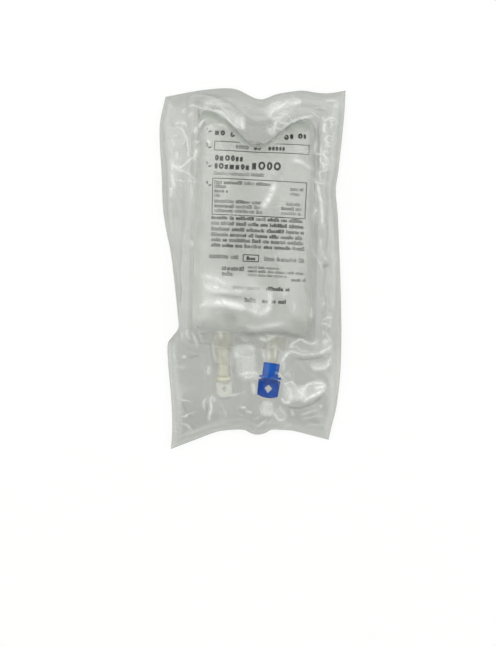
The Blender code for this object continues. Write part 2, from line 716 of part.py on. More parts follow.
def wrap_back():
    """The back film: rings of faces that curl up to the seal around one flat face to rest on."""
    patch = wrap_patch()
    length = TOP_REACH + FOOT_REACH
    width = CHAMBER_WIDTH + LEFT_TOP_MARGIN + RIGHT_TOP_MARGIN
    perimeter = rest_perimeter()
    count = len(perimeter)
    mesh_maker = bmesh.new()
    upper, lower = [], []
    for ring in REST_RINGS:
        inset_a, inset_b = ring * EDGE_CURL / width, ring * EDGE_CURL / length
        for layer, lift in ((upper, WRAP_FILM), (lower, 0.0)):
            points = []
            for share_a, share_b in perimeter:
                across, along = mix(inset_a, 1 - inset_a, share_a), mix(inset_b, 1 - inset_b, share_b)
                x, y = patch(across, along)
                height = 0.0 if ring == 1.0 else back_height(across, along)
                points.append(mesh_maker.verts.new((x, y, height + lift)))
            layer.append(points)
    for ring in range(len(REST_RINGS) - 1):
        for i in range(count):
            k = (i + 1) % count
            mesh_maker.faces.new((upper[ring][i], upper[ring][k], upper[ring + 1][k], upper[ring + 1][i]))
            mesh_maker.faces.new((lower[ring][k], lower[ring][i], lower[ring + 1][i], lower[ring + 1][k]))
    for i in range(count):
        k = (i + 1) % count
        mesh_maker.faces.new((upper[0][k], upper[0][i], lower[0][i], lower[0][k]))
    mesh_maker.faces.new(upper[-1])
    mesh_maker.faces.new(lower[-1][::-1])
    return add_object("overwrap_back_film", mesh_maker, "overwrap film")


# Ports


def turned(name, profile, finish=None, parent=None):
    """A solid turned about its own Z from (radius, height) points, listed as a closed outline."""
    mesh_maker = bmesh.new()
    verts = [mesh_maker.verts.new((radius, 0, height)) for radius, height in profile]
    closed = all(radius > 0 for radius, _ in profile)
    pairs = list(zip(verts, verts[1:])) + ([(verts[-1], verts[0])] if closed else [])
    edges = [mesh_maker.edges.new(pair) for pair in pairs]
    bmesh.ops.spin(
        mesh_maker, geom=verts + edges, cent=(0, 0, 0), axis=(0, 0, 1), angle=2 * math.pi,
        steps=TURNED_STEPS, use_merge=True,
    )
    bmesh.ops.remove_doubles(mesh_maker, verts=mesh_maker.verts, dist=MERGE_DISTANCE)
    bmesh.ops.recalc_face_normals(mesh_maker, faces=mesh_maker.faces)
    made = add_object(name, mesh_maker, finish, parent)
    if not finish:
        as_guide(made)
    return made


def prism(name, outline, depth, finish=None, parent=None, bevel=0.0):
    """A flat plate from an outline, its thickness centred on its own plane."""
    mesh_maker = bmesh.new()
    face = mesh_maker.faces.new([mesh_maker.verts.new(point) for point in outline])
    face.normal_update()
    normal = face.normal.copy()
    bmesh.ops.translate(mesh_maker, verts=mesh_maker.verts, vec=-normal * depth / 2)
    grown = bmesh.ops.extrude_face_region(mesh_maker, geom=[face])
    moved = [item for item in grown["geom"] if isinstance(item, bmesh.types.BMVert)]
    bmesh.ops.translate(mesh_maker, verts=moved, vec=normal * depth)
    bmesh.ops.recalc_face_normals(mesh_maker, faces=mesh_maker.faces)
    if bevel:
        rims = [edge for edge in mesh_maker.edges if edge.calc_face_angle(0) > RIM_ANGLE]
        bmesh.ops.bevel(mesh_maker, geom=rims, offset=bevel, segments=1, affect="EDGES")
    made = add_object(name, mesh_maker, finish, parent, smooth=False)
    if not finish:
        as_guide(made)
    return made


def as_guide(made):
    """Marks an object as a cutter or guide, which is not a piece of the pack."""
    made.hide_render = True
    made.display_type = "WIRE"


def boolean(target, other, operation):
    """Joins a guide to a piece or cuts it out of it."""
    modifier = target.modifiers.new(other.name, "BOOLEAN")
    modifier.object = other
    modifier.operation = operation
    modifier.solver = "EXACT"


class Port:
    """A port's own frame: its empty sits on the seam with Z out of the bag along the port."""

    def __init__(self, name, place_a, turn, widest, flange_at, fluid_end):
        self.name = name
        self.widest = widest
        self.flange_at = flange_at
        self.fluid_end = fluid_end
        self.root = to_world(place_a, chamber_foot(place_a))
        self.direction = Vector((math.sin(turn), -math.cos(turn)))
        self.empty = bpy.data.objects.new(name, None)
        bpy.context.scene.collection.objects.link(self.empty)
        across = Vector((-self.direction.y, self.direction.x, 0))
        out = Vector((self.direction.x, self.direction.y, 0))
        frame = Matrix((across, out.cross(across), out)).transposed()
        self.empty.matrix_world = Matrix.Translation((*self.root, PORT_HEIGHT)) @ frame.to_4x4()


def boat(name, parent):
    """The lens-shaped root that the films are welded round, tapering to its edges."""
    outline = []
    for side in (1, -1):
        for step in range(BOAT_STEPS):
            share = side * (1 - 2 * step / BOAT_STEPS)
            half = BOAT_THICKNESS / 2 * (1 - share * share)
            outline.append(Vector((share * BOAT_WIDTH / 2, side * half, 0)))
    mesh_maker = bmesh.new()
    face = mesh_maker.faces.new([mesh_maker.verts.new(point + Vector((0, 0, GAP))) for point in outline])
    grown = bmesh.ops.extrude_face_region(mesh_maker, geom=[face])
    moved = [item for item in grown["geom"] if isinstance(item, bmesh.types.BMVert)]
    bmesh.ops.translate(mesh_maker, verts=moved, vec=(0, 0, BOAT_LENGTH))
    bmesh.ops.recalc_face_normals(mesh_maker, faces=mesh_maker.faces)
    made = add_object(name, mesh_maker, None, parent)
    as_guide(made)
    return made


def port_body(name, port, profile, bore):
    """A port's clear body: boat and tube in one, with the bore cut through both."""
    body = turned(name, profile, "clear port plastic", port.empty)
    boolean(body, boat(name + "_boat", port.empty), "UNION")
    boolean(body, turned(name + "_bore", bore, parent=port.empty), "DIFFERENCE")
    return body


def stepped_bore(wide, end):
    """Cutter for a port's bore: narrow through the boat, stepping out to the tube's inside."""
    return (
        (0, -CUT_PAST), (BORE_RADIUS, -CUT_PAST), (BORE_RADIUS, BOAT_LENGTH + BORE_STEP_START),
        (wide, BOAT_LENGTH + BORE_STEP_END), (wide, end + CUT_PAST), (0, end + CUT_PAST),
    )


def paddle_outline(shape, start):
    """The paddle's outline: rounded corners at the root and the end, and a bowed end."""
    end_edge = start + shape.length - shape.bow
    corners = (
        (shape.width / 2, start + TAB_ROOT_CORNER, TAB_ROOT_CORNER, -math.pi / 2),
        (shape.end_width / 2, end_edge - shape.corner, shape.corner, 0.0),
    )
    side = []
    for half, centre, radius, first in corners:
        for step in range(CORNER_STEPS + 1):
            angle = first + math.pi / 2 * step / CORNER_STEPS
            side.append((half - radius + radius * math.cos(angle), centre + radius * math.sin(angle)))
    reach = shape.end_width / 2 - shape.corner
    bow = []
    for step in range(1, BOW_STEPS):
        share = 1 - 2 * step / BOW_STEPS
        bow.append((share * reach, end_edge + shape.bow * (1 - share * share)))
    mirrored = [(-x, z) for x, z in reversed(side)]
    return [Vector((x, 0, z)) for x, z in side + bow + mirrored]


def kite_outline(shape, middle):
    """The kite-shaped hole, its wide shoulders nearer the root."""
    near = middle - shape.kite_length / 2
    shoulder = near + KITE_SHOULDER_SHARE * shape.kite_length
    half = shape.kite_width / 2
    places = ((0, near), (half, shoulder), (0, near + shape.kite_length), (-half, shoulder))
    return [Vector((x, 0, z)) for x, z in places]


def tab(name, port, shape, start, finish):
    """A snap-off tab: a disc at its root, and a flat paddle with a kite-shaped hole."""
    disc_end = start + shape.disc_length
    paddle_start = (start + disc_end) / 2
    made = prism(name, paddle_outline(shape, paddle_start), TAB_THICKNESS, finish, port.empty, TAB_BEVEL)
    disc = ((0, start), (shape.disc_radius, start), (shape.disc_radius, disc_end), (0, disc_end))
    boolean(made, turned(name + "_disc", disc, parent=port.empty), "UNION")
    middle = paddle_start + KITE_PLACE_SHARE * shape.length
    kite = prism(name + "_kite", kite_outline(shape, middle), 3 * TAB_THICKNESS, parent=port.empty)
    boolean(made, kite, "DIFFERENCE")
    return made


def injection_port(port):
    """The clear port with the rubber stopper, a grooved ivory ring and a white tab."""
    start = BOAT_LENGTH
    end = INJECTION_TUBE_END
    neck = end - STOPPER_LENGTH
    root = GAP + ROOT_CLEARANCE
    seat_radius = INJECTION_NECK_RADIUS - TUBE_WALL
    profile = (
        (0, root), (INJECTION_ROOT_RADIUS, root), (INJECTION_ROOT_RADIUS, start),
        (INJECTION_TUBE_RADIUS, start + TUBE_SHOULDER), (INJECTION_TUBE_RADIUS, neck - NECK_TAPER_START),
        (INJECTION_NECK_RADIUS, neck - NECK_TAPER_END), (INJECTION_NECK_RADIUS, end), (0, end),
    )
    body = port_body("injection_port_body", port, profile, stepped_bore(seat_radius, end))
    stopper_radius = seat_radius - GAP
    stopper = turned(
        "injection_port_stopper",
        (
            (0, neck), (stopper_radius - STOPPER_CHAMFER, neck), (stopper_radius, neck + STOPPER_CHAMFER),
            (stopper_radius, end), (0, end),
        ),
        "cream rubber", port.empty,
    )
    ring_at = end + GAP
    groove = RING_RADIUS - RING_GROOVE
    ring = turned(
        "injection_port_ring",
        (
            (0, ring_at), (RING_RADIUS, ring_at), (RING_RADIUS, ring_at + RING_LIP),
            (groove, ring_at + RING_LIP), (groove, ring_at + 2 * RING_LIP),
            (RING_RADIUS, ring_at + 2 * RING_LIP), (RING_RADIUS, ring_at + RING_LENGTH),
            (0, ring_at + RING_LENGTH),
        ),
        "ivory plastic", port.empty,
    )
    shape = TabShape(
        INJECTION_TAB_WIDTH, INJECTION_TAB_END_WIDTH, INJECTION_TAB_LENGTH - INJECTION_DISC_LENGTH / 2,
        INJECTION_TAB_CORNER, INJECTION_TAB_BOW, INJECTION_DISC_RADIUS, INJECTION_DISC_LENGTH,
        INJECTION_KITE_WIDTH, INJECTION_KITE_LENGTH,
    )
    snap_tab = tab("injection_port_tab", port, shape, ring_at + RING_LENGTH + GAP, "white plastic")
    return body, stopper, ring, snap_tab


def infusion_port(port):
    """The blue port: a clear tube, a flanged collar that grips it, a membrane and a blue tab."""
    start = BOAT_LENGTH
    end = INFUSION_TUBE_END
    root = GAP + ROOT_CLEARANCE
    profile = (
        (0, root), (INFUSION_ROOT_RADIUS, root), (INFUSION_ROOT_RADIUS, start),
        (INFUSION_TUBE_RADIUS, start + TUBE_SHOULDER), (INFUSION_TUBE_RADIUS, end), (0, end),
    )
    body = port_body("infusion_port_body", port, profile, stepped_bore(INFUSION_TUBE_RADIUS - TUBE_WALL, end))
    grip = INFUSION_TUBE_RADIUS + GAP
    collar_at = port.flange_at - COLLAR_LENGTH
    flange_end = port.flange_at + FLANGE_THICKNESS
    mouth = grip - COLLAR_LIP
    waist = COLLAR_RADIUS - COLLAR_DRAFT
    collar = turned(
        "infusion_port_collar",
        (
            (grip, collar_at), (COLLAR_RADIUS - COLLAR_CHAMFER, collar_at),
            (COLLAR_RADIUS, collar_at + COLLAR_CHAMFER), (waist, port.flange_at - COLLAR_DRAFT),
            (FLANGE_RADIUS, port.flange_at), (FLANGE_RADIUS, flange_end), (mouth, flange_end),
            (mouth, port.flange_at), (grip, port.flange_at),
        ),
        "blue collar plastic", port.empty,
    )
    membrane_at, membrane_end, rim = end + GAP, port.flange_at - GAP, grip - GAP
    membrane = turned(
        "infusion_port_membrane",
        ((0, membrane_at), (rim, membrane_at), (rim, membrane_end), (0, membrane_end)),
        "cream rubber", port.empty,
    )
    shape = TabShape(
        INFUSION_TAB_WIDTH, INFUSION_TAB_END_WIDTH, INFUSION_TAB_LENGTH - INFUSION_DISC_LENGTH / 2,
        INFUSION_TAB_CORNER, INFUSION_TAB_BOW, INFUSION_DISC_RADIUS, INFUSION_DISC_LENGTH,
        INFUSION_KITE_WIDTH, INFUSION_KITE_LENGTH,
    )
    snap_tab = tab("infusion_port_tab", port, shape, flange_end + GAP, "blue tab plastic")
    return body, collar, membrane, snap_tab


def build():
    """Clears the scene and makes every piece of the pack."""
    for old in list(bpy.data.objects):
        bpy.data.objects.remove(old)
    injection = Port(
        "injection_port", INJECTION_PORT_A, INJECTION_PORT_TURN, widest=INJECTION_TUBE_RADIUS,
        flange_at=INJECTION_TUBE_END, fluid_end=INJECTION_TUBE_END - STOPPER_LENGTH,
    )
    infusion = Port(
        "infusion_port", INFUSION_PORT_A, INFUSION_PORT_TURN, widest=FLANGE_RADIUS,
        flange_at=INFUSION_FLANGE_AT, fluid_end=INFUSION_TUBE_END,
    )
    ports = (injection, infusion)
    columns = bag_columns()
    wrap_back()
    bag_film("bag_back_film", bag_underside, -1, columns)
    fluid_body(columns, ports)
    bag_film("bag_front_film", bag_top, 1, columns)
    injection_port(injection)
    infusion_port(infusion)
    wrap_front(ports)


build()
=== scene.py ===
"""Looks of a filled infusion bag, sealed in its clear overwrap and lying on a pale table.

Metres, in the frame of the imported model: X across the bag, Y towards its hanging end, Z up. The
bag has a frame of its own, a across it and b along it from the middle of its chamber. Places that
are read off a plan of the pack are in chart squares of 0.84 mm, right and down from its corner.
"""

import logging
import math
from dataclasses import dataclass, field
from enum import Enum

import bmesh
import bpy
import numpy as np
from mathutils import Matrix, Vector


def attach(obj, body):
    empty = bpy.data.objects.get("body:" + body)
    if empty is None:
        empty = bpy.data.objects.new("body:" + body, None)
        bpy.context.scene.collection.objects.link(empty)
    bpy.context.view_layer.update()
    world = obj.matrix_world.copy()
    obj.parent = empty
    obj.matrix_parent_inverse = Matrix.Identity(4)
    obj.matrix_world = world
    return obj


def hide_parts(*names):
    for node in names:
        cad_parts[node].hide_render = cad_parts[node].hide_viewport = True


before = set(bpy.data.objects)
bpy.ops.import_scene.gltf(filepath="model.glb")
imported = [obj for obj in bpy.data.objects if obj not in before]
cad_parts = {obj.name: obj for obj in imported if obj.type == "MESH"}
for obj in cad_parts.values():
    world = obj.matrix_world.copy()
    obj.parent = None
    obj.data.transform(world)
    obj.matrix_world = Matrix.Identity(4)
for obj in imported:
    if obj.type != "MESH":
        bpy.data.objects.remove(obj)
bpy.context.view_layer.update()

logging.basicConfig(level=logging.INFO, format="%(message)s")
log = logging.getLogger("infusion bag")

Array = np.ndarray
Place = tuple[float, float]

MM = 0.001
BODY = "root"

# Chart: one square, and the square over the world's origin
CHART_SQUARE = 0.84 * MM
CHART_ORIGIN = (252.6, 269.0)
CHART_SIZE = (496.0, 646.0)

# Bag, as in the solids
CHAMBER_HALF = 0.0505
CHAMBER_FOOT = 0.095
SHOULDER_REACH = 0.0915
SHOULDER_SLOPE = -0.08
FOOT_SLOPE = -0.038
DIP_DEPTH = 0.027
DIP_WIDTH = 0.023
FILL_HEIGHT = 0.0384
SIDE_SEAM_HEIGHT = 0.0135
SIDE_SEAL = 0.0032
FOOT_SEAL = 0.011
HEAD_SEAL = 0.005
SEAL_CORNER = 0.0028
BAG_FILM = 0.0004
BAG_TURN = math.radians(-1.6)
BAG_OFFSET = (0.0016, 0.03995)
SIDE_BLUNTNESS = 2.6
END_BLUNTNESS = 4.0
CORNER_POWER = 4.0
REST_SHARE = 0.45
ROUNDED_FROM = 0.985
FLAP_SHARES = (-0.22, 0.235)
FLAP_LENGTH = 0.0225
FLAP_SPREAD = 2.1
FLAP_END_HEIGHT = 0.0026
SLOT_LENGTH = 0.016
SLOT_WIDTH = 0.005

# Slack of the filled film: heights in metres, waves in radians a metre, and how far a pucker runs
FOOT_PUCKER = 0.00055
FOOT_PUCKER_WAVE = 520
FOOT_PUCKER_RUN = 0.009
PUCKER_SWAY = 1.2
PUCKER_SWAY_WAVE = 170
HEAD_PUCKER = 0.00045
HEAD_PUCKER_WAVE = 430
HEAD_PUCKER_START = 0.8
HEAD_PUCKER_RUN = 0.010
SWELL = 0.0005
SWELL_FIRST = (95, 40, 0.6)
SWELL_SECOND = (-30, 70)
RIPPLE_FROM = 0.25

# Ports, as in the solids
PORT_HEIGHT = 0.00985
BOAT_THICKNESS = 0.0082
BOAT_WIDTH = 0.0184
GAP = 0.0003

# Overwrap, as in the solids
WRAP_FILM = 0.00025
WRAP_FLOOR = 0.00055
WRAP_LOFT = 0.0034
WRAP_CLEARANCE = 0.0014
EDGE_LIFT = 0.0040
EDGE_WAVE = 0.0022
EDGE_CURL = 0.012
RIM_WAVE = (9.0, 5.0)
RIM_SECOND_SHARE = 0.7
RIM_SECOND_WAVE = (17.0, -11.0, 1.3)
WRAP_WIDTH = 0.1453
WRAP_LENGTH = 0.2953
WRAP_CORNERS = {
    "head left": (-0.0734, 0.14505),
    "head right": (0.0783, 0.15025),
    "foot left": (-0.0689, -0.15155),
    "foot right": (0.0641, -0.14375),
}
HEAD_EDGE = (
    (0.09, 0.0023), (0.19, 0.0045), (0.33, 0.0056), (0.40, 0.0040), (0.49, -0.0031), (0.53, -0.0047),
    (0.565, -0.0037), (0.61, -0.0011), (0.66, 0.0002), (0.76, 0.0014), (0.84, -0.0009), (0.91, -0.0017),
)
RIGHT_EDGE = (
    (0.08, -0.0002), (0.23, -0.0027), (0.285, -0.0041), (0.36, -0.0013), (0.59, 0.0045),
    (0.78, 0.0071), (0.90, 0.0054), (0.97, 0.0015),
)
FOOT_EDGE = (
    (0.156, -0.0067), (0.296, -0.0124), (0.381, -0.0132), (0.465, -0.0125), (0.505, -0.0096),
    (0.549, -0.0079), (0.60, -0.0089), (0.634, -0.0112), (0.695, -0.0107), (0.774, -0.0093),
    (0.887, -0.0047),
)
LEFT_EDGE = (
    (0.083, 0.0052), (0.22, 0.0042), (0.317, 0.0035), (0.375, 0.0013), (0.44, -0.0023),
    (0.52, -0.0050), (0.62, -0.0076), (0.65, -0.0082), (0.662, -0.0071), (0.678, -0.0034),
    (0.694, 0.0004), (0.71, 0.0015), (0.76, 0.0011), (0.87, -0.0012), (0.95, -0.0014),
)

# How the overwrap is drawn over the chamber, with its slack past the bag's welds, and how its
# sides wander: height, wave along the bag, start, and shift from one side to the other
COVER_SIDE_SLACK = 0.0085
COVER_HEAD_SLACK = 0.0075
COVER_FOOT_SLACK = 0.008
COVER_DIP_DEPTH = 0.019
COVER_DIP_WIDTH = DIP_WIDTH * 0.9
COVER_FALL_POWER = 0.58
COVER_WANDER = ((0.0006, 88, 0.0, 2.1), (0.0004, 214, 1.3, 2.6))

# How it is drawn over a port
TENT_FALL = 0.046
TENT_BEFORE = 0.03
TENT_RISE = 0.02
TENT_WIDTH = 0.0105
TENT_POWER = 0.75

# How the drawn forms pass into each other
PORT_BLEND = 0.002
FLOOR_BLEND = 0.0015


def colour(code: str) -> tuple[float, float, float, float]:
    """Turns an sRGB hex colour into the linear values that a shader takes.

    Args:
        code: six hex digits, such as "c4c6c0".

    Returns:
        Linear red, green and blue, and an alpha of one.
    """
    values = [int(code[i : i + 2], 16) / 255 for i in (0, 2, 4)]
    linear = [v / 12.92 if v <= 0.04045 else ((v + 0.055) / 1.055) ** 2.4 for v in values]
    return (*linear, 1.0)


def on_chart(right: float, down: float) -> Place:
    """Place in the world, in metres, of a place on the chart."""
    return (right - CHART_ORIGIN[0]) * CHART_SQUARE, (CHART_ORIGIN[1] - down) * CHART_SQUARE


def smooth_step(value: Array) -> Array:
    """Eases from 0 to 1, held at its ends."""
    value = np.clip(value, 0.0, 1.0)
    return value * value * (3 - 2 * value)


def soft_maximum(first: Array, second: Array, softness: float) -> Array:
    """The larger of two heights, with a rounded passage between them."""
    return (first + second + np.hypot(first - second, softness)) / 2


def to_world(a: Array, b: Array) -> tuple[Array, Array]:
    """World x and y of places in the bag's frame."""
    cosine, sine = math.cos(BAG_TURN), math.sin(BAG_TURN)
    return a * cosine - b * sine + BAG_OFFSET[0], a * sine + b * cosine + BAG_OFFSET[1]


def to_bag(x: Array, y: Array) -> tuple[Array, Array]:
    """Turns places of the world into the bag's frame.

    Args:
        x: places across the world.
        y: places along the world.

    Returns:
        Places across and along the bag.
    """
    cosine, sine = math.cos(BAG_TURN), math.sin(BAG_TURN)
    x, y = x - BAG_OFFSET[0], y - BAG_OFFSET[1]
    return x * cosine + y * sine, -x * sine + y * cosine


# Form of the bag


def chamber_head(a: Array) -> Array:
    """End of the chamber at the hanging end, which dips between its shoulders."""
    return SHOULDER_REACH + SHOULDER_SLOPE * a - DIP_DEPTH * np.exp(-((a / DIP_WIDTH) ** 2))


def chamber_foot(a: Array) -> Array:
    """End of the chamber at the ports, as a negative place along the bag."""
    return -CHAMBER_FOOT + FOOT_SLOPE * a


def along_chamber(a: Array, b: Array) -> Array:
    """Share of the way from the middle of the chamber to its end: -1 at the foot, 1 at the head."""
    return np.where(b >= 0, b / chamber_head(a), -b / chamber_foot(a))


def fullness(a: Array, b: Array) -> Array:
    """How full the chamber is, which gives the films their height.

    Args:
        a: places across the bag.
        b: places along the bag.

    Returns:
        1 in the middle of the chamber, falling to 0 at its seal.
    """
    across = np.clip(np.abs(a) / CHAMBER_HALF, 0, 1) ** (SIDE_BLUNTNESS * CORNER_POWER)
    along = np.clip(np.abs(along_chamber(a, b)), 0, 1) ** (END_BLUNTNESS * CORNER_POWER)
    return np.maximum(0.0, 1 - (across + along) ** (1 / CORNER_POWER))


def seam_height(a: Array, b: Array) -> Array:
    """Height of the weld: the sides ride up on the full chamber, the ends stay at the ports' height."""
    share = np.clip(np.abs(along_chamber(a, b)), 0, 1) ** 2
    return SIDE_SEAM_HEIGHT + (PORT_HEIGHT - SIDE_SEAM_HEIGHT) * share


def bag_top(a: Array, b: Array) -> Array:
    """Outer face of the bag's front film.

    Args:
        a: places across the bag.
        b: places along the bag.

    Returns:
        Its height at each place.
    """
    full = fullness(a, b)
    rise = (FILL_HEIGHT - SIDE_SEAM_HEIGHT) * np.sqrt(full)
    rise = rise + bag_ripples(a, b) * smooth_step(full / RIPPLE_FROM)
    return seam_height(a, b) + GAP / 2 + BAG_FILM + np.maximum(rise, port_bulge(a, b))


def bag_underside(a: Array, b: Array) -> Array:
    """Outer face of the bag's back film, flat where the full bag rests.

    Args:
        a: places across the bag.
        b: places along the bag.

    Returns:
        Its height at each place.
    """
    sunk = 1 - np.clip(fullness(a, b) / REST_SHARE, 0, 1)
    depth = seam_height(a, b) - GAP / 2 - BAG_FILM - WRAP_FLOOR
    return WRAP_FLOOR + depth - np.maximum(depth * np.sqrt(1 - sunk * sunk), port_bulge(a, b))


def bag_ripples(a: Array, b: Array) -> Array:
    """Slack of the filled film: puckers that run in from both end welds, and slow swells.

    Args:
        a: places across the bag.
        b: places along the bag.

    Returns:
        The height that they add.
    """
    foot = b - chamber_foot(a)
    head = chamber_head(a) - b
    sway = PUCKER_SWAY * np.sin(a * PUCKER_SWAY_WAVE)
    pucker = FOOT_PUCKER * np.sin(a * FOOT_PUCKER_WAVE + sway) * np.exp(-foot / FOOT_PUCKER_RUN)
    pucker += HEAD_PUCKER * np.sin(a * HEAD_PUCKER_WAVE + HEAD_PUCKER_START) * np.exp(-head / HEAD_PUCKER_RUN)
    swell = SWELL * np.sin(a * SWELL_FIRST[0] + b * SWELL_FIRST[1] + SWELL_FIRST[2])
    return pucker + swell * np.sin(a * SWELL_SECOND[0] + b * SWELL_SECOND[1])


def chamber_place(across: Array, along: Array) -> tuple[Array, Array]:
    """Places shares of the chamber in the bag's frame, with its corners rounded.

    Args:
        across: shares from -1 to 1 of the chamber's width.
        along: shares from -1 to 1 of its length.

    Returns:
        Places across and along the bag.
    """
    kept = np.minimum(np.abs(along), ROUNDED_FROM) ** (END_BLUNTNESS * CORNER_POWER)
    a = across * CHAMBER_HALF * (1 - kept) ** (1 / (SIDE_BLUNTNESS * CORNER_POWER))
    return a, along * np.where(along >= 0, chamber_head(a), -chamber_foot(a))


@dataclass(frozen=True)
class Port:
    """A port's place on the foot weld and how it lies.

    Attributes:
        place: where its root is on the weld, across the bag.
        turn: its lean from straight down the pack, in radians.
        widest: largest radius of its tube or flange.
        tab_at: where its tab starts, out from the weld.
    """

    place: float
    turn: float
    widest: float
    tab_at: float

    @property
    def root(self) -> Vector:
        """Where it leaves the weld, in the world."""
        place = np.float64(self.place)
        return Vector(to_world(place, chamber_foot(place)))

    @property
    def direction(self) -> Vector:
        """Which way it points, in the world."""
        return Vector((math.sin(self.turn), -math.cos(self.turn)))


INJECTION = Port(-0.0247, math.radians(2.3), 0.0062, 0.0369)
INFUSION = Port(0.0205, math.radians(-8.0), 0.0093, 0.0342)
PORTS = (INJECTION, INFUSION)


def port_bulge(a: Array, b: Array) -> Array:
    """How far each film stands off the seam to pass round the ports' roots.

    Args:
        a: places across the bag.
        b: places along the bag.

    Returns:
        The distance at each place, 0 away from the ports.
    """
    half_height = BOAT_THICKNESS / 2 + 2 * GAP
    half_width = BOAT_WIDTH / 2 + 2 * GAP
    most = np.zeros_like(a)
    for port in PORTS:
        foot = chamber_foot(np.float64(port.place))
        axis = port.place + math.tan(port.turn + BAG_TURN) * (foot - b)
        inside = (b - chamber_foot(a)) / (2 * FOOT_SEAL)
        bulge = half_height * (1 - ((a - axis) / half_width) ** 2) * (1 - smooth_step(inside))
        most = np.maximum(most, bulge)
    return most


# Form of the overwrap


def wavy_edge(start: str, end: str, offsets: tuple, outward: Place, shares: Array) -> Array:
    """A smooth edge between two corners of the overwrap, through its measured offsets.

    Args:
        start: the corner that it starts at.
        end: the corner that it ends at.
        offsets: shares of the way along it, each with the offset there in metres.
        outward: the way that the offsets point.
        shares: where its points are wanted, from 0 to 1.

    Returns:
        The points, x and y in the last axis.
    """
    knots = np.array([0.0, *(share for share, _ in offsets), 1.0])
    pushes = np.array([0.0, *(push for _, push in offsets), 0.0])
    low = np.maximum(np.arange(len(knots)) - 1, 0)
    high = np.minimum(np.arange(len(knots)) + 1, len(knots) - 1)
    slopes = (pushes[high] - pushes[low]) / (knots[high] - knots[low])
    index = np.clip(np.searchsorted(knots, shares, side="right") - 1, 0, len(knots) - 2)
    width = knots[index + 1] - knots[index]
    local = (shares - knots[index]) / width
    square, cube = local**2, local**3
    push = (
        pushes[index] * (2 * cube - 3 * square + 1)
        + slopes[index] * width * (cube - 2 * square + local)
        + pushes[index + 1] * (3 * square - 2 * cube)
        + slopes[index + 1] * width * (cube - square)
    )
    first, last = np.array(WRAP_CORNERS[start]), np.array(WRAP_CORNERS[end])
    return first + (last - first) * shares[..., None] + np.array(outward) * push[..., None]


def wrap_place(across: Array, along: Array) -> tuple[Array, Array]:
    """Places shares of the overwrap in the world, between its four wavy edges.

    Args:
        across: shares from left to right.
        along: shares from foot to head.

    Returns:
        World x and y.
    """
    corner = {name: np.array(place) for name, place in WRAP_CORNERS.items()}
    head = wavy_edge("head left", "head right", HEAD_EDGE, (0, 1), across)
    foot = wavy_edge("foot left", "foot right", FOOT_EDGE, (0, -1), across)
    left = wavy_edge("head left", "foot left", LEFT_EDGE, (-1, 0), 1 - along)
    right = wavy_edge("head right", "foot right", RIGHT_EDGE, (1, 0), 1 - along)
    u, v = across[..., None], along[..., None]
    flat_foot = corner["foot left"] + (corner["foot right"] - corner["foot left"]) * u
    flat_head = corner["head left"] + (corner["head right"] - corner["head left"]) * u
    place = foot + (head - foot) * v + left + (right - left) * u - (flat_foot + (flat_head - flat_foot) * v)
    return place[..., 0], place[..., 1]


def edge_inset(across: Array, along: Array) -> Array:
    """How far inside the overwrap's edge a place on it is, in metres."""
    return np.minimum(
        np.minimum(across, 1 - across) * WRAP_WIDTH, np.minimum(along, 1 - along) * WRAP_LENGTH
    )


def edge_lift(across: Array, along: Array) -> Array:
    """Height of the overwrap's rim above the table, which waves along it.

    Args:
        across: shares of the overwrap's width.
        along: shares of its length.

    Returns:
        The rim's height at each place.
    """
    second = np.sin(RIM_SECOND_WAVE[0] * along + RIM_SECOND_WAVE[1] * across + RIM_SECOND_WAVE[2])
    wave = np.sin(RIM_WAVE[0] * along + RIM_WAVE[1] * across) + RIM_SECOND_SHARE * second
    return EDGE_LIFT + EDGE_WAVE * wave / (1 + RIM_SECOND_SHARE)


def back_height(across: Array, along: Array) -> Array:
    """Underside of the overwrap: flat on the table, curling up to the rim."""
    curl = 1 - np.clip(edge_inset(across, along) / EDGE_CURL, 0, 1)
    return edge_lift(across, along) * curl * curl


def bag_cover(a: Array, b: Array) -> Array:
    """The overwrap drawn over the chamber, wider than it and slack at its sides.

    Args:
        a: places across the bag.
        b: places along the bag.

    Returns:
        Its height at each place, 0 away from the bag.
    """
    wander = sum(
        height * np.sin(wave * b + start + shift * np.sign(a)) for height, wave, start, shift in COVER_WANDER
    )
    reach_a = CHAMBER_HALF + SIDE_SEAL + COVER_SIDE_SLACK + wander
    dip = COVER_DIP_DEPTH * np.exp(-((a / COVER_DIP_WIDTH) ** 2))
    reach_b = SHOULDER_REACH + HEAD_SEAL + COVER_HEAD_SLACK + SHOULDER_SLOPE * a - dip
    foot = -chamber_foot(a) + FOOT_SEAL + COVER_FOOT_SLACK
    across = np.clip(np.abs(a) / reach_a, 0, 1) ** (SIDE_BLUNTNESS * CORNER_POWER)
    share = np.abs(np.where(b >= 0, b / reach_b, b / foot))
    along = np.clip(share, 0, 1) ** (END_BLUNTNESS * CORNER_POWER)
    full = np.maximum(0.0, 1 - (across + along) ** (1 / CORNER_POWER))
    return (FILL_HEIGHT + BAG_FILM + WRAP_CLEARANCE + WRAP_FILM) * full**COVER_FALL_POWER


def port_cover(x: Array, y: Array, port: Port) -> Array:
    """The overwrap drawn over one port, falling off past its tab.

    Args:
        x: places across the world.
        y: places along the world.
        port: the port under it.

    Returns:
        Its height at each place, 0 away from the port.
    """
    off_x, off_y = x - port.root.x, y - port.root.y
    along = off_x * port.direction.x + off_y * port.direction.y
    beside = off_x * port.direction.y - off_y * port.direction.x
    top = PORT_HEIGHT + port.widest + WRAP_CLEARANCE + WRAP_FILM
    fall = 1 - smooth_step((along - port.tab_at) / TENT_FALL)
    ridge = top * fall * smooth_step((along + TENT_BEFORE) / TENT_RISE)
    return ridge * np.clip(1 - (beside / (port.widest + TENT_WIDTH)) ** 2, 0, 1) ** TENT_POWER


# Creases of the film

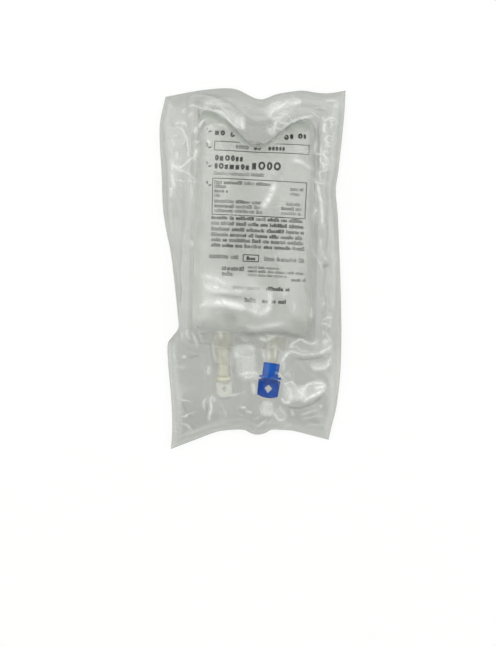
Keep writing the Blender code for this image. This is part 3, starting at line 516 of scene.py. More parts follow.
# Steps of a crease's course between two of its places, and the rounding, its root and the fall
# of its flanks in half widths, and the share of its length over which each end fades
CREASE_STEPS = 5
CREST_ROUNDING = 0.05
CREST_SHIFT = 0.2236
CREST_FALL = 1.3
END_FADE = 0.25
FAR_AWAY = 1e9


@dataclass(frozen=True)
class Crease:
    """A fold of the film along a line on the chart.

    Attributes:
        path: places on the chart that it runs through.
        rise: its height in mm, below zero for a furrow.
        width: its half width in mm, or one for each side, left and right of its course.
        bloom: painted highlight along it, laid on as milky haze and partly real stress-whitened film; below
            zero, painted shade in its furrow.
        band: half width in mm of the band of painted highlight or painted shade.
    """

    path: tuple[Place, ...]
    rise: float
    width: float | tuple[float, float]
    bloom: float = 0.0
    band: float = 0.9

    def line(self) -> Array:
        """The crease's course, a smooth curve through its places.

        Returns:
            Closely spaced world points.
        """
        knots = np.array([on_chart(*place) for place in self.path])
        padded = np.vstack((2 * knots[0] - knots[1], knots, 2 * knots[-1] - knots[-2]))
        points = []
        for i in range(1, len(padded) - 2):
            p0, p1, p2, p3 = padded[i - 1 : i + 3]
            ends = CREASE_STEPS + (i == len(padded) - 3)
            for t in np.linspace(0, 1, CREASE_STEPS + 1)[:ends]:
                points.append(
                    0.5 * (2 * p1 + (p2 - p0) * t + (2 * p0 - 5 * p1 + 4 * p2 - p3) * t**2
                           + (3 * p1 - p0 - 3 * p2 + p3) * t**3)
                )
        return np.array(points)

    def field(self, x: Array, y: Array) -> tuple[Array, Array]:
        """Its height, and its painted highlight or painted shade, at places of the world.

        Args:
            x: places across the world.
            y: places along the world.

        Returns:
            The height that it adds, in metres, and its bloom: painted highlight, or below zero painted shade.
        """
        sides = (self.width, self.width) if isinstance(self.width, (int, float)) else self.width
        line = self.line()
        best = np.full(x.shape, FAR_AWAY)
        side = np.ones(x.shape)
        share = np.zeros(x.shape)
        lengths = np.concatenate(([0.0], np.cumsum(np.linalg.norm(np.diff(line, axis=0), axis=1))))
        for i in range(len(line) - 1):
            start, step = line[i], line[i + 1] - line[i]
            run = float(step @ step)
            t = np.clip(((x - start[0]) * step[0] + (y - start[1]) * step[1]) / run, 0, 1)
            gap_x, gap_y = x - start[0] - step[0] * t, y - start[1] - step[1] * t
            distance = np.hypot(gap_x, gap_y)
            nearer = distance < best
            best = np.where(nearer, distance, best)
            side = np.where(nearer, np.sign(step[0] * gap_y - step[1] * gap_x), side)
            share = np.where(nearer, (lengths[i] + t * math.sqrt(run)) / lengths[-1], share)
        width = np.where(side >= 0, sides[0], sides[1]) * MM
        reach = best / width
        profile = np.exp(-(np.sqrt(reach**2 + CREST_ROUNDING) - CREST_SHIFT) * CREST_FALL)
        fade = smooth_step(share / END_FADE) * smooth_step((1 - share) / END_FADE)
        bloom = self.bloom * np.exp(-((best / (self.band * MM)) ** 2)) * fade
        return self.rise * MM * profile * fade, bloom


@dataclass(frozen=True)
class Facet:
    """A patch of film that leans evenly, bounded by soft folds.

    Attributes:
        centre: its middle, on the chart.
        size: its width and length in chart squares.
        lean: its slope to the right and down the chart.
        bloom: painted reflection and sheen, laid on as milky haze; below zero, painted shade.
        turn: its turn on the chart, in degrees.
        edge: how soft its border is, in chart squares.
    """

    centre: Place
    size: Place
    lean: Place
    bloom: float
    turn: float
    edge: float

    def field(self, x: Array, y: Array) -> tuple[Array, Array]:
        """Its height, and its painted sheen or painted shade, at places of the world.

        Args:
            x: places across the world.
            y: places along the world.

        Returns:
            The height that it adds, in metres, and its bloom: painted reflection and sheen, or below zero
            painted shade.
        """
        cx, cy = on_chart(*self.centre)
        right, down = (x - cx), (cy - y)
        angle = math.radians(self.turn)
        u = right * math.cos(angle) + down * math.sin(angle)
        v = -right * math.sin(angle) + down * math.cos(angle)
        soft = self.edge * CHART_SQUARE
        inside = np.ones_like(x)
        for value, size in ((u, self.size[0]), (v, self.size[1])):
            half = size * CHART_SQUARE / 2
            inside = inside * smooth_step((half + soft - np.abs(value)) / (2 * soft))
        return (right * self.lean[0] + down * self.lean[1]) * inside, self.bloom * inside


# Lattice of triangles under the crushed film's facets: values in its table, where it starts, and
# the lean and height of a triangle
LATTICE_VALUES = 64
LATTICE_START = 100
TRIANGLE_LEAN = 0.5
TRIANGLE_HEIGHT = 0.866

# How its folds wander, in facets: two sways across and one along, each with its wave and phase
SWAY_ACROSS = (0.45, 0.9)
SWAY_FINE = (0.2, 0.37, 2)
SWAY_ALONG = (0.45, 0.8, 1.7)


def lattice_noise(x: Array, y: Array, size: float, seed: int) -> Array:
    """Flat facets with straight folds between them, as crushed film has, from -1 to 1.

    Args:
        x: places across.
        y: places along.
        size: spacing of the facets' corners, in metres.
        seed: picks the pattern.

    Returns:
        The height at each place.
    """
    rng = np.random.default_rng(seed)
    table = rng.uniform(-1, 1, (LATTICE_VALUES, LATTICE_VALUES))
    u = (x + TRIANGLE_LEAN * y) / size + LATTICE_START
    v = (y * TRIANGLE_HEIGHT) / size + LATTICE_START
    i, j = np.floor(u).astype(int), np.floor(v).astype(int)
    fu, fv = u - i, v - j

    def corner(di: int, dj: int) -> Array:
        """Height of a corner of each place's cell."""
        return table[(i + di) % LATTICE_VALUES, (j + dj) % LATTICE_VALUES]

    low, high, right, left = corner(0, 0), corner(1, 1), corner(1, 0), corner(0, 1)
    lower = low + (right - low) * fu + (left - low) * fv
    upper = high + (left - high) * (1 - fu) + (right - high) * (1 - fv)
    return np.where(fu + fv < 1, lower, upper)


def crushed(x: Array, y: Array, size: float, seed: int) -> Array:
    """Facets whose folds wander, as in film that was handled, from -1 to 1.

    Args:
        x: places across.
        y: places along.
        size: spacing of the facets' corners, in metres.
        seed: picks the pattern.

    Returns:
        The height at each place.
    """
    wander_x = SWAY_ACROSS[0] * size * np.sin(y / (size * SWAY_ACROSS[1]) + seed)
    wander_x = wander_x + SWAY_FINE[0] * size * np.sin(x / (size * SWAY_FINE[1]) + SWAY_FINE[2] * seed)
    wander_y = SWAY_ALONG[0] * size * np.sin(x / (size * SWAY_ALONG[1]) + SWAY_ALONG[2] * seed)
    return lattice_noise(x + wander_x, y + wander_y, size, seed)


@dataclass(frozen=True)
class Crumple:
    """Crushed facets of one size over the whole film.

    Attributes:
        strength: most that they raise or lower what they act on.
        size: spacing of the facets' corners, in metres.
        seed: picks the pattern.
    """

    strength: float
    size: float
    seed: int

    def at(self, x: Array, y: Array) -> Array:
        """Their value at places of the world."""
        return self.strength * crushed(x, y, self.size, self.seed)


# Folds of the film: a positive bloom is painted highlight along the fold, laid on as milky haze and partly
# real stress-whitening; a negative one is painted shade in a furrow
CREASES = (
    # Head: swirls over the left shoulder
    Crease(
        ((199.3, 101.8), (205, 103.5), (216.8, 104.9), (228, 104.3), (238, 110.5)), 0.7, (1, 1.6), 0.35,
    ),
    Crease(((203.6, 100.5), (214, 101.8), (228, 98.6), (238, 103)), 0.6, 1.2, 0.25),
    Crease(
        ((200.5, 104.3), (210.5, 110.5), (220.5, 113), (228, 119.3), (233, 125.5), (236.8, 128.6)), 1,
        (1.2, 2.2), 0.6,
    ),
    Crease(((208, 106.8), (218, 109.9), (228, 108.6), (235.5, 113.6)), -0.5, 1.4, -0.45),
    Crease(((213, 113.5), (223, 117), (228, 123)), -0.3, 1.2, -0.35),
    Crease(((241.5, 115), (242.3, 120.5), (242.5, 126), (243, 132)), 0.9, (1.4, 1.8), 0.85, 1.5),
    Crease(((201.8, 131.8), (208, 128), (215.5, 125.5), (223, 126.8), (229, 129.9)), 0.5, (1.2, 2.2), 0.38),
    Crease(((203, 135), (209, 131), (216, 128.5), (222, 129)), 0.3, 1.2, 0.25),
    Crease(((198.6, 108), (199, 114), (199.5, 121)), -0.8, (1.2, 1), -0.9, 0.7),
    Crease(((204.9, 119.9), (201, 124.3), (198.6, 129.3)), 0.6, 1.2, 0.5),
    Crease(((206, 122), (203, 126.5), (201, 132)), -0.4, 1, -0.5),
    Crease(((195.5, 127), (195.6, 130.5), (195.2, 135)), 0.7, 1.5, 0.5, 1.4),
    Crease(((193.5, 143.5), (196.5, 142.6), (200, 142.8)), 0.5, 1.2, 0.4, 1),
    Crease(((206.5, 140), (208.5, 142.5), (210.5, 146)), 0.4, 1.2, 0.5, 1),
    Crease(((196.8, 148), (195.6, 155), (194, 163)), 0.5, 1.8, 0.5, 1.4),
    # Left margin
    Crease(
        ((167.4, 131.8), (170.5, 128.6), (176.8, 126.8), (182.4, 129.3), (185.5, 135.5), (187.4, 141.8),
        (188.8, 163)), 0.9, (1.2, 1.8), 0.5,
    ),
    Crease(((183.6, 132), (184.9, 138), (183.6, 145)), 0.6, 1.2, 0.42),
    Crease(((181.5, 125), (184.3, 122), (186.5, 128)), 0.6, 1.1, 0.6),
    Crease(((174.5, 123.4), (177, 122.4), (180, 122.4)), 0.4, 0.9, 0.55, 0.7),
    Crease(((173.5, 134.7), (176.5, 135.3), (179, 135.8)), 0.4, 0.9, 0.45, 0.7),
    Crease(((170, 137), (173, 141), (174.5, 147)), 0.5, 1.3, 0.2),
    Crease(((182, 114), (183.8, 110.5), (187.5, 108)), 0.7, 1.4, 0.35, 1.3),
    Crease(((188.5, 118), (190.8, 114.5), (194, 113)), 0.5, 1.4, 0.32, 1.2),
    Crease(((188.5, 107.5), (192.4, 105.3), (196.5, 107.5)), 0.7, 1.2, 0.35),
    Crease(((176.5, 150), (177, 156), (176, 162)), 0.6, 1.2, 0.4),
    Crease(((179.5, 155), (179.5, 163), (178, 172)), 0.5, 1.4, 0.22),
    Crease(((173, 160), (172.2, 166), (172.4, 171)), 0.6, 1, 0.5),
    Crease(((171, 171), (171.8, 176), (173.5, 183), (175, 190)), 0.6, 1.1, 0.5),
    Crease(((172.5, 186), (170.8, 191), (171, 198)), 0.6, 1.2, 0.55, 1),
    Crease(((189.5, 172), (191.5, 188), (192, 206)), 0.4, 1.2, 0.25),
    Crease(((192.3, 128), (192.3, 150), (191.8, 172), (191.5, 190)), -0.5, 1.1, -0.35),
    Crease(((181, 238), (184, 233), (189, 230)), 0.4, 1.4, 0.18),
    Crease(((190.5, 240), (192.5, 244), (193.5, 248)), 0.4, 1.4, 0.32, 1.3),
    Crease(((178, 262), (181, 275), (184, 292)), 0.4, 2, 0.1),
    # Head: the right of the valley
    Crease(
        ((290, 95.5), (287.5, 100.5), (280, 106.8), (273.8, 109.9), (270.6, 114.9), (273, 117.4),
        (279.4, 118), (284.4, 116)), 0.9, (1.2, 1.6), 0.62,
    ),
    Crease(((285, 116), (283, 113.6), (276.9, 113)), 0.4, 0.9, 0.4, 0.7),
    Crease(((275.3, 120.5), (274.6, 128), (273, 136)), 0.9, (1.3, 1.6), 0.85, 1.25),
    Crease(
        ((280, 134.3), (283.8, 128), (291.3, 123), (300, 119.3), (308.8, 117), (319.5, 116.8)), 0.9,
        (1.8, 1.1), 0.5,
    ),
    Crease(((284, 133), (290, 126.3), (297.5, 122.4), (305, 120.6), (314, 120.4)), -0.6, 1.2, -0.55),
    Crease(((301, 97.5), (298.5, 102), (293.8, 104.8)), 0.5, 1.8, 0.42, 1.7),
    Crease(((290.5, 101), (293.5, 100.3), (296, 101)), -0.4, 1.2, -0.35),
    Crease(((324.5, 100.2), (331, 99.7), (338, 100)), 0.5, 0.9, 0.8, 0.8),
    Crease(((310, 107.4), (318, 107.6), (328, 108)), 0.4, 0.9, 0.38, 0.7),
    Crease(((313, 109.8), (320, 109.8), (327, 110)), -0.3, 0.9, -0.3),
    Crease(((254, 120), (258, 121), (263, 120)), 0.3, 1.4, 0.15),
    # Right margin
    Crease(
        ((320, 119.3), (325, 120.5), (330, 117.4), (335, 118.6), (336.9, 123), (335, 127.5)), 0.9,
        (1.1, 1.5), 0.52,
    ),
    Crease(((325.3, 122), (323.8, 129.3), (325.2, 135)), 0.9, 1.3, 0.75, 1.1),
    Crease(((328, 130), (331, 127), (332, 122.5)), 0.5, 1.1, 0.35),
    Crease(((334.5, 134.5), (328, 136), (325.6, 140.5), (329.5, 143), (333, 141.8)), 0.8, 1.1, 0.55),
    Crease(((325, 144.7), (329, 145.6), (333, 147)), 0.6, 0.9, 0.5),
    Crease(((331, 153.2), (324.2, 151.6), (325, 158), (331, 162.4)), 0.8, 1.2, 0.52),
    Crease(((322, 161.5), (323.8, 167.5), (321.5, 170)), 0.6, 1.1, 0.6),
    Crease(((324.5, 167), (327, 164.5), (331, 163)), 0.5, 1.1, 0.45),
    Crease(((320.8, 144), (320.6, 155), (320.2, 168)), 0.5, 0.9, 0.45),
    Crease(((318.1, 120), (318.2, 150), (317.6, 176)), -0.6, 1, -0.45),
    Crease(((317.6, 176), (318.5, 190), (321, 203), (322, 216), (322.6, 233)), 0.7, (1.2, 1.8), 0.66, 1.3),
    Crease(((320, 236), (320.6, 246), (320.2, 258)), 0.4, 1.2, 0.3),
    Crease(((332.5, 176), (333.5, 200), (333, 240), (334, 262)), 0.4, 0.9, 0.16),
    Crease(((322, 268), (326, 265), (329, 266)), -0.8, 1.8, -0.5, 1.6),
    Crease(((320, 262), (322, 263.5), (325, 261.5)), 0.4, 1, 0.3),
    # Over the chamber
    Crease(((276.8, 182), (272.8, 190), (269, 199), (263.5, 207), (258, 213)), 0.5, (1.8, 3.4), 0.62, 2.3),
    Crease(((289, 161.5), (300, 163), (308.8, 168), (312, 173)), 0.4, 2.2, 0.42, 1.7),
    Crease(
        ((199.5, 280), (203, 276.3), (209, 277), (218, 280), (226, 284), (234, 287)), 0.4, (1.8, 2.2), 0.26,
        1.6,
    ),
    Crease(
        ((199.5, 280), (203, 284.5), (209, 288.5), (215, 291.5), (225, 291.5), (237, 292.5), (247, 289.5)),
        0.5, (2.2, 1.8), 0.3, 2,
    ),
    Crease(((213, 285.5), (216, 288), (220, 287)), 0.3, 1.6, 0.38, 1.4),
    Crease(((208, 296.5), (222, 295.6), (235, 297), (248, 300)), -0.5, 2, -0.35, 1.6),
    Crease(
        ((209.5, 306), (218, 303.5), (226, 303), (233, 305), (241, 307), (250, 309.3)), 0.7, (3.4, 2.8),
        0.75, 2.6,
    ),
    Crease(
        ((244, 307.3), (252, 310), (257, 312.7), (263, 313.2), (267.3, 310), (269.5, 303), (270.2, 296),
        (268.5, 288)), 0.6, (2.6, 2.2), 0.5, 2.2,
    ),
    Crease(((199, 308), (202.5, 304.8), (207, 305.2)), 0.4, 1.1, 0.42),
    Crease(((229, 311), (232.5, 315), (235, 322)), -0.4, 1.8, -0.3, 1.5),
    Crease(((241, 325.5), (255, 328), (270, 325.5), (288, 323)), 0.3, 2.4, 0.28, 2),
    Crease(((293, 301), (294, 306), (293.5, 312)), 0.3, 1.4, 0.32),
    Crease(((311, 306), (311.3, 312), (310.5, 319)), 0.4, 1.2, 0.38),
    Crease(((274, 292), (281, 295), (290, 291)), 0.3, 1.8, 0.2, 1.6),
    # Foot weld
    Crease(
        ((234, 333.5), (250, 334.4), (265, 332.8), (285, 333.3), (300, 337), (316, 338)), -0.4, 2, -0.38,
        2,
    ),
    Crease(((196, 333), (206, 334.2), (218, 334.5)), -0.3, 1.6, -0.2, 1.6),
    Crease(((219, 331.5), (221, 335.5), (220, 339)), 0.5, 1.2, 0.4, 1.2),
    Crease(((190.8, 330), (194, 336), (196.8, 343.8), (195.3, 351)), 0.7, 1.3, 0.45),
    Crease(((187.4, 328), (188, 336.3), (191.5, 340)), 0.5, 1.2, 0.35),
    Crease(((199, 331), (201, 338), (205, 343)), 0.5, 1.2, 0.3),
    Crease(((183, 330), (181.5, 338), (183, 346)), 0.5, 1.3, 0.22),
    Crease(((241, 336), (244, 340), (247, 341)), 0.4, 1.2, 0.3),
    Crease(((258, 337), (265, 340), (272, 337.5), (277, 336)), 0.5, 1.3, 0.4, 1.2),
    # Lower right
    Crease(
        ((280.6, 371), (281.9, 362.5), (286.3, 355), (291.3, 351.9), (300, 354.4), (307.5, 355),
        (316.3, 353.8), (325, 350.6), (331.3, 346.3), (332.8, 339)), 1.1, (1.3, 2.2), 0.75, 1.2,
    ),
    Crease(((293, 358.5), (306, 359.5), (318, 357.8), (328, 353.5)), -0.5, 1.6, -0.35),
    Crease(((288.5, 350.5), (293, 346.3), (296.9, 347.5), (302.5, 350.6), (312, 351.3)), 0.6, 1.2, 0.45),
    Crease(
        ((286.5, 352.5), (291.3, 345), (297.5, 340.6), (301.3, 339.4), (305, 341.9), (311.3, 343.8),
        (317.5, 340.6), (320.5, 336.5)), 0.8, (1.1, 1.6), 0.5,
    ),
    Crease(((283.8, 360), (284.2, 365), (283, 372)), 0.5, 1, 0.5, 0.8),
    Crease(((321.5, 344), (325, 342.3), (328, 340)), 0.7, 1.8, 0.62, 2),
    Crease(((321, 321), (326, 318.2), (333, 317)), 0.6, 1.1, 0.6),
    Crease(((319.5, 323), (326, 324), (331.5, 328)), 0.6, 1.1, 0.5),
    Crease(((321.5, 306.5), (324.3, 302), (322, 296)), 0.5, 1.1, 0.36),
    Crease(((326, 332), (328.5, 337), (330, 343)), 0.6, 1.1, 0.5),
    Crease(((322, 328), (324, 333), (321, 337)), 0.5, 1.1, 0.4),
    Crease(((330, 308), (333, 303), (332.5, 296)), 0.4, 1, 0.25),
    Crease(
        ((310, 361.5), (312.5, 366.9), (316.3, 368.8), (323.8, 368.1), (328.1, 365.6), (328.8, 361.3),
        (331.5, 355.5)), 0.8, (1.6, 1.2), 0.55, 1.1,
    ),
    Crease(((281.3, 380), (285, 383.8), (290, 381.9), (293.8, 384.4), (298, 389)), 0.8, (1.2, 1.8), 0.6),
    Crease(
        ((300, 385.8), (303.8, 389.4), (307.5, 385), (313.8, 383.1), (320, 383.1), (327.5, 385.3)), 0.8,
        (1.2, 1.8), 0.55,
    ),
    Crease(((313.5, 388.5), (320, 387.6), (327, 385.4)), 0.6, 1.3, 0.75, 1.2),
    Crease(
        ((301, 402.5), (305, 400.6), (310, 397.5), (318, 393.8), (325, 388.5)), 0.9, (1.3, 1.8), 0.85, 1.3,
    ),
    Crease(((281, 396.5), (283.8, 401.9), (287.5, 402.8), (292, 401)), 0.7, 1.3, 0.62),
    Crease(((287.5, 384.5), (290.6, 392.5), (291.3, 401)), 0.5, 1.2, 0.3),
    Crease(((303.5, 389), (302.5, 395), (302, 402)), 0.5, 1.2, 0.25),
    Crease(
        ((282, 406), (290, 407.5), (300, 408), (312, 404), (321, 397), (325, 391)), -0.6, 1.6, -0.45, 1.2,
    ),
    Crease(((284, 376), (288, 374), (292, 376)), 0.5, 1.8, 0.35, 1.8),
    Crease(((272.5, 410), (277.5, 418.8), (281.3, 420.3), (287.3, 419.4)), 0.8, (1.3, 1.6), 0.6),
    Crease(((279, 404), (283, 412), (288, 418)), 0.4, 1.2, 0.2),
    Crease(((282.3, 427), (287.5, 426.3), (291, 424)), 0.6, 0.9, 0.75, 0.8),
    Crease(((291, 409.5), (292.5, 413), (293.5, 417.5)), 0.5, 1, 0.3),
    Crease(((299, 416.5), (308.8, 412.5), (319, 409.5)), 0.4, 1.3, 0.25),
    Crease(((300, 420.5), (310, 417.5), (325, 415.5)), 0.4, 1.3, 0.2),
    Crease(((303, 426), (315, 425), (327, 426.5)), 0.4, 1.4, 0.2),
    Crease(((319.5, 407), (321.5, 406.2), (323, 407)), 0.4, 1.1, 0.5, 1),
    Crease(((325, 372), (330, 380), (331, 392)), 0.4, 1.6, 0.12),
    # Between and round the ports
    Crease(((234.5, 346), (244, 345.3), (255, 346.3)), 0.3, (1.4, 2), 0.12, 1.2),
    Crease(((237, 374.6), (245.5, 373.8), (250.5, 372.6), (258.5, 373.4)), 0.5, 1.4, 0.48, 1.1),
    Crease(((243.5, 377), (248, 377.7), (254, 375.8)), 0.4, 1, 0.55, 0.9),
    Crease(((252.6, 381), (253.2, 387), (254.4, 395)), 0.5, 1.3, 0.6, 1.4),
    Crease(((230.6, 353), (231.6, 360), (232.8, 367)), 0.3, 1.1, 0.25, 1),
    Crease(((210.3, 336), (211.3, 350), (213.5, 362), (217, 375)), -0.3, 1.3, -0.2, 1.2),
    Crease(((212.5, 340), (213.5, 352), (215.5, 362)), 0.4, 1, 0.2),
    Crease(((229.5, 338), (230, 350), (232.5, 364), (234, 378)), -0.3, 1.2, -0.18, 1.2),
    Crease(((209.5, 365), (208.5, 370), (207.8, 376)), 0.6, 1.5, 0.45, 1.5),
    Crease(((215, 394.5), (222, 396), (230, 395.4), (237, 394.4), (246.5, 391)), 0.6, (1.2, 1.8), 0.42),
    Crease(((214, 397.6), (224, 398.6), (234, 397.6)), -0.3, 1.4, -0.25),
    Crease(((212.5, 393), (210.5, 401.3), (211, 408.8), (209.3, 417.5), (211.3, 423)), 0.9, 1.3, 0.68, 1.1),
    Crease(((213, 396.5), (214.5, 399.5), (213.5, 402.5)), 0.4, 1, 0.5, 0.9),
    Crease(((206, 398), (203.5, 404), (205, 410)), 0.5, 1.3, 0.3),
    Crease(((208.5, 402), (207, 410), (208.5, 421)), -0.4, 0.9, -0.35),
    Crease(((238.5, 407.5), (242, 407.4), (247, 407.8)), 0.4, 0.8, 0.62, 0.7),
    Crease(((244.5, 411), (248, 411.8), (252.5, 413.4)), 0.4, 0.9, 0.5, 0.8),
    Crease(((220.5, 421.9), (235, 421.9), (250.5, 421.3)), -0.4, 0.9, -0.35, 0.7),
    Crease(((180.3, 398), (185.5, 410), (190.5, 416.3), (200, 419)), -0.6, 1.2, -0.3),
    Crease(((190, 423), (192.5, 426), (196.5, 431)), -0.4, 1.2, -0.25),
    Crease(((172.5, 351), (173.5, 355), (174, 360)), 0.5, 1.1, 0.5, 1),
    Crease(((181.5, 357.5), (184, 356.6), (186.5, 357.6)), 0.4, 1, 0.6, 0.9),
    Crease(((187, 356.8), (194, 357), (200, 355)), -0.3, 1.2, -0.28),
    Crease(((176, 366), (182, 368), (188, 366)), 0.3, 1.6, 0.15),
    Crease(((259.5, 404), (260.5, 410), (262, 416)), 0.4, 0.9, 0.3, 0.7),
    Crease(((268.6, 349), (268.8, 355), (268.6, 361)), 0.2, 0.8, 0.32, 0.8),
    Crease(((273, 340), (275.3, 348), (274.6, 360)), 0.2, 0.8, 0.25, 0.8),
    Crease(((262, 346), (263, 353), (264.5, 360)), 0.2, 1, 0.22, 1),
    Crease(((222, 437), (234, 431.5), (246, 430), (258, 432), (270, 437)), 0.4, 2, 0.1),
)

LEVEL = (0, 0)
# Patches of film between folds: a positive bloom is painted reflection and sheen, laid on as milky haze where
# lamps would shine on the film, and below zero it is painted shade
FACETS = (
    Facet((244.5, 352), (20, 12), LEVEL, 0.3, 3, 2.2),
    Facet((239.5, 352), (9, 10), LEVEL, 0.12, 3, 2.4),
    Facet((246, 361), (18, 30), LEVEL, 0.24, -5, 3.2),
    Facet((267.6, 408.5), (10.5, 14), (-0.03, 0.02), 0.34, 2, 2.2),
    Facet((297, 394), (22, 13), (0.06, 0.05), 0.18, -8, 3),
    Facet((282, 106), (20, 34), (0.04, -0.04), 0.26, 42, 3.2),
    Facet((222, 107), (34, 12), LEVEL, 0.16, 22, 4),
    Facet((229, 117), (26, 8), LEVEL, 0.16, 36, 3.4),
    Facet((240, 120), (9, 17), LEVEL, 0.34, 10, 3.6),
    Facet((176, 150), (16, 80), LEVEL, 0.1, 0, 9),
    Facet((172.5, 178), (6, 42), LEVEL, 0.12, 0, 4),
    Facet((329, 143), (13, 54), LEVEL, 0.16, 0, 4),
    Facet((186, 215), (50, 220), LEVEL, 0.12, 0, 26),
    Facet((331, 225), (26, 190), LEVEL, 0.1, 0, 18),
    Facet((290, 102), (104, 36), LEVEL, 0.15, 0, 13),
    Facet((265, 193), (20, 26), LEVEL, 0.06, 0, 9),
    Facet((232, 285), (54, 16), LEVEL, 0.2, 2, 7),
    Facet((232, 303), (56, 9), LEVEL, 0.19, 4, 4),
    Facet((262, 300), (16, 22), LEVEL, 0.17, 0, 5),
    Facet((308, 347), (46, 12), LEVEL, 0.15, 0, 5),
    Facet((321, 366), (15, 8), LEVEL, 0.14, -6, 3),
    Facet((310, 390), (30, 11), LEVEL, 0.2, -18, 4),
    Facet((288, 393), (9, 18), LEVEL, 0.22, 0, 4),
    Facet((281, 414), (9, 13), LEVEL, 0.12, -28, 3),
    Facet((250, 376), (18, 7), LEVEL, 0.22, 0, 3),
    Facet((250, 424), (150, 36), LEVEL, -0.13, 0, 12),
    Facet((226, 235), (44, 70), LEVEL, -0.1, 0, 14),
    Facet((230, 319), (15, 13), LEVEL, -0.24, 20, 5),
    Facet((208, 325), (24, 9), LEVEL, -0.16, 0, 5),
    Facet((301, 326), (17, 14), LEVEL, -0.24, 30, 5),
    Facet((262, 329), (60, 5), LEVEL, -0.14, 3, 3),
)

# Crushed film where it hangs slack, and where the full bag holds it taut
SLACK_CRUMPLES = (Crumple(0.0013, 0.017, 5), Crumple(0.00060, 0.0075, 11))
TAUT_CRUMPLES = (Crumple(0.0007, 0.026, 3), Crumple(0.00022, 0.011, 23))

# Where the film is taut: the chamber's share, the fullness from which it is and over which it
# becomes so, and how much calmer it is there
TAUT_CHAMBER = 0.97
TAUT_FROM = 0.02
TAUT_OVER = 0.25
TAUT_CALM = 0.8
FILM_STAND = 0.0012

# Milky folds, partly real stress-whitened film and partly painted highlight: broken along the creases, in
# fine folds that come in patches, and mottled; and the share of a furrow's or patch's value that becomes
# painted shade
BLOOM_LEVEL = 0.75
BROKEN_BLOOM = Crumple(0.35, 0.0032, 17)
FINE_FOLDS = Crumple(1.0, 0.011, 31)
FINE_FOLD_WIDTH = 0.07
FINE_PATCHES = Crumple(2.2, 0.03, 37)
FINE_PATCH_FROM = 0.1
FINE_BLOOM = 0.42
MOTTLE = Crumple(0.35, 0.0045, 41)
PAINTED_SHADE_SHARE = 0.6

# Embossed ridge of the heat seal: height, place inside the edge, and half width
SEAL_RIDGE = 0.00035
SEAL_RIDGE_INSET = 0.0066
SEAL_RIDGE_WIDTH = 0.0007


def seal_band(inset: Array) -> Array:
    """Embossing of the heat-sealed rim: a low ridge where the seal ends."""
    return SEAL_RIDGE * np.exp(-(((inset - SEAL_RIDGE_INSET) / SEAL_RIDGE_WIDTH) ** 2))


def front_field(x: Array, y: Array, across: Array, along: Array) -> tuple[Array, Array, Array]:
    """Top of the overwrap's front film, with the painted highlight and painted shade along its folds.

    Args:
        x: places across the world.
        y: places along the world.
        across: the same places as shares of the overwrap's width.
        along: the same places as shares of its length.

    Returns:
        Heights; milkiness from 0 to 1, partly real stress-whitened folds and partly painted highlight and
        painted reflection; and painted shade from 0 to 1.
    """
    inset = edge_inset(across, along)
    ease = smooth_step(inset / EDGE_CURL)
    floor = back_height(across, along) + WRAP_FLOOR + WRAP_FILM + WRAP_LOFT * ease
    a, b = to_bag(x, y)
    cover = bag_cover(a, b)
    for port in PORTS:
        cover = soft_maximum(cover, port_cover(x, y, port), PORT_BLEND)
    height = soft_maximum(floor, cover, FLOOR_BLEND)
    taut = smooth_step((fullness(a * TAUT_CHAMBER, b * TAUT_CHAMBER) - TAUT_FROM) / TAUT_OVER)
    slack = ease * (1 - TAUT_CALM * taut)
    height = height + FILM_STAND * ease
    height = height + slack * sum(crumple.at(x, y) for crumple in SLACK_CRUMPLES)
    height = height + ease * taut * sum(crumple.at(x, y) for crumple in TAUT_CRUMPLES)
    # Creases add painted highlight along their crests, laid on as milky haze that is partly real
    # stress-whitening, and painted shade in their furrows
    white, dim = np.zeros_like(x), np.zeros_like(x)
    broken = BLOOM_LEVEL + BROKEN_BLOOM.at(x, y)
    for crease in CREASES:
        rise, bloom = crease.field(x, y)
        height = height + rise * ease
        if crease.bloom > 0:
            white = np.maximum(white, bloom * broken)
        else:
            dim = np.maximum(dim, -PAINTED_SHADE_SHARE * bloom)
    fine = np.exp(-((FINE_FOLDS.at(x, y) / FINE_FOLD_WIDTH) ** 2))
    fine = fine * smooth_step(FINE_PATCHES.at(x, y) - FINE_PATCH_FROM)
    white = np.maximum(white, FINE_BLOOM * slack * fine)
    # Facets add painted reflection and sheen as milky haze, or painted shade below zero
    haze = np.zeros_like(x)
    for facet in FACETS:
        rise, bloom = facet.field(x, y)
        height = height + rise * ease
        if facet.bloom > 0:
            haze = haze + bloom
        else:
            dim = np.maximum(dim, -PAINTED_SHADE_SHARE * bloom)
    height = height + seal_band(inset)
    haze = haze * (1.0 + MOTTLE.at(x, y))
    return height, np.clip((white + haze) * ease, 0, 1), np.clip(dim * ease, 0, 1)


# Materials


@dataclass(frozen=True)
class Clear:
    """Finish of a clear or milky plastic.

    Attributes:
        name: the material's name.
        tint: hex colour that light takes on at each face it passes.
        haze: share of the surface that scatters.
        milk: hex colour of what scatters.
        gloss: reflection at a right angle.
        roughness: of the reflection.
        grain: size in mm and depth in mm of the finest unevenness.
        swell: size in mm and depth in mm of the broader unevenness.
        whitening: how much the mesh's milky folds add to the haze; on the overwrap they are partly real
            stress-whitened film and partly painted highlight and painted reflection.
        shade: hex colour of painted shade, which takes the tint's place where the mesh says.
    """

    name: str
    tint: str
    haze: float
    milk: str
    gloss: float
    roughness: float
    grain: Place
    swell: Place
    whitening: float = 0.0
    shade: str = "808680"


@dataclass(frozen=True)
class Solid:
    """Finish of an opaque moulding.

    Attributes:
        name: the material's name.
        base: its hex colour.
        shade: hex colour of its darker clouds.
        roughness: of its reflection.
        grain: size in mm and depth in mm of the moulded texture.
        glow: share of light that passes under the surface.
        specular: how strongly it reflects, 0.5 for plain glossy plastic.
    """

    name: str
    base: str
    shade: str
    roughness: float
    grain: Place
    glow: float = 0.0
    specular: float = 0.25


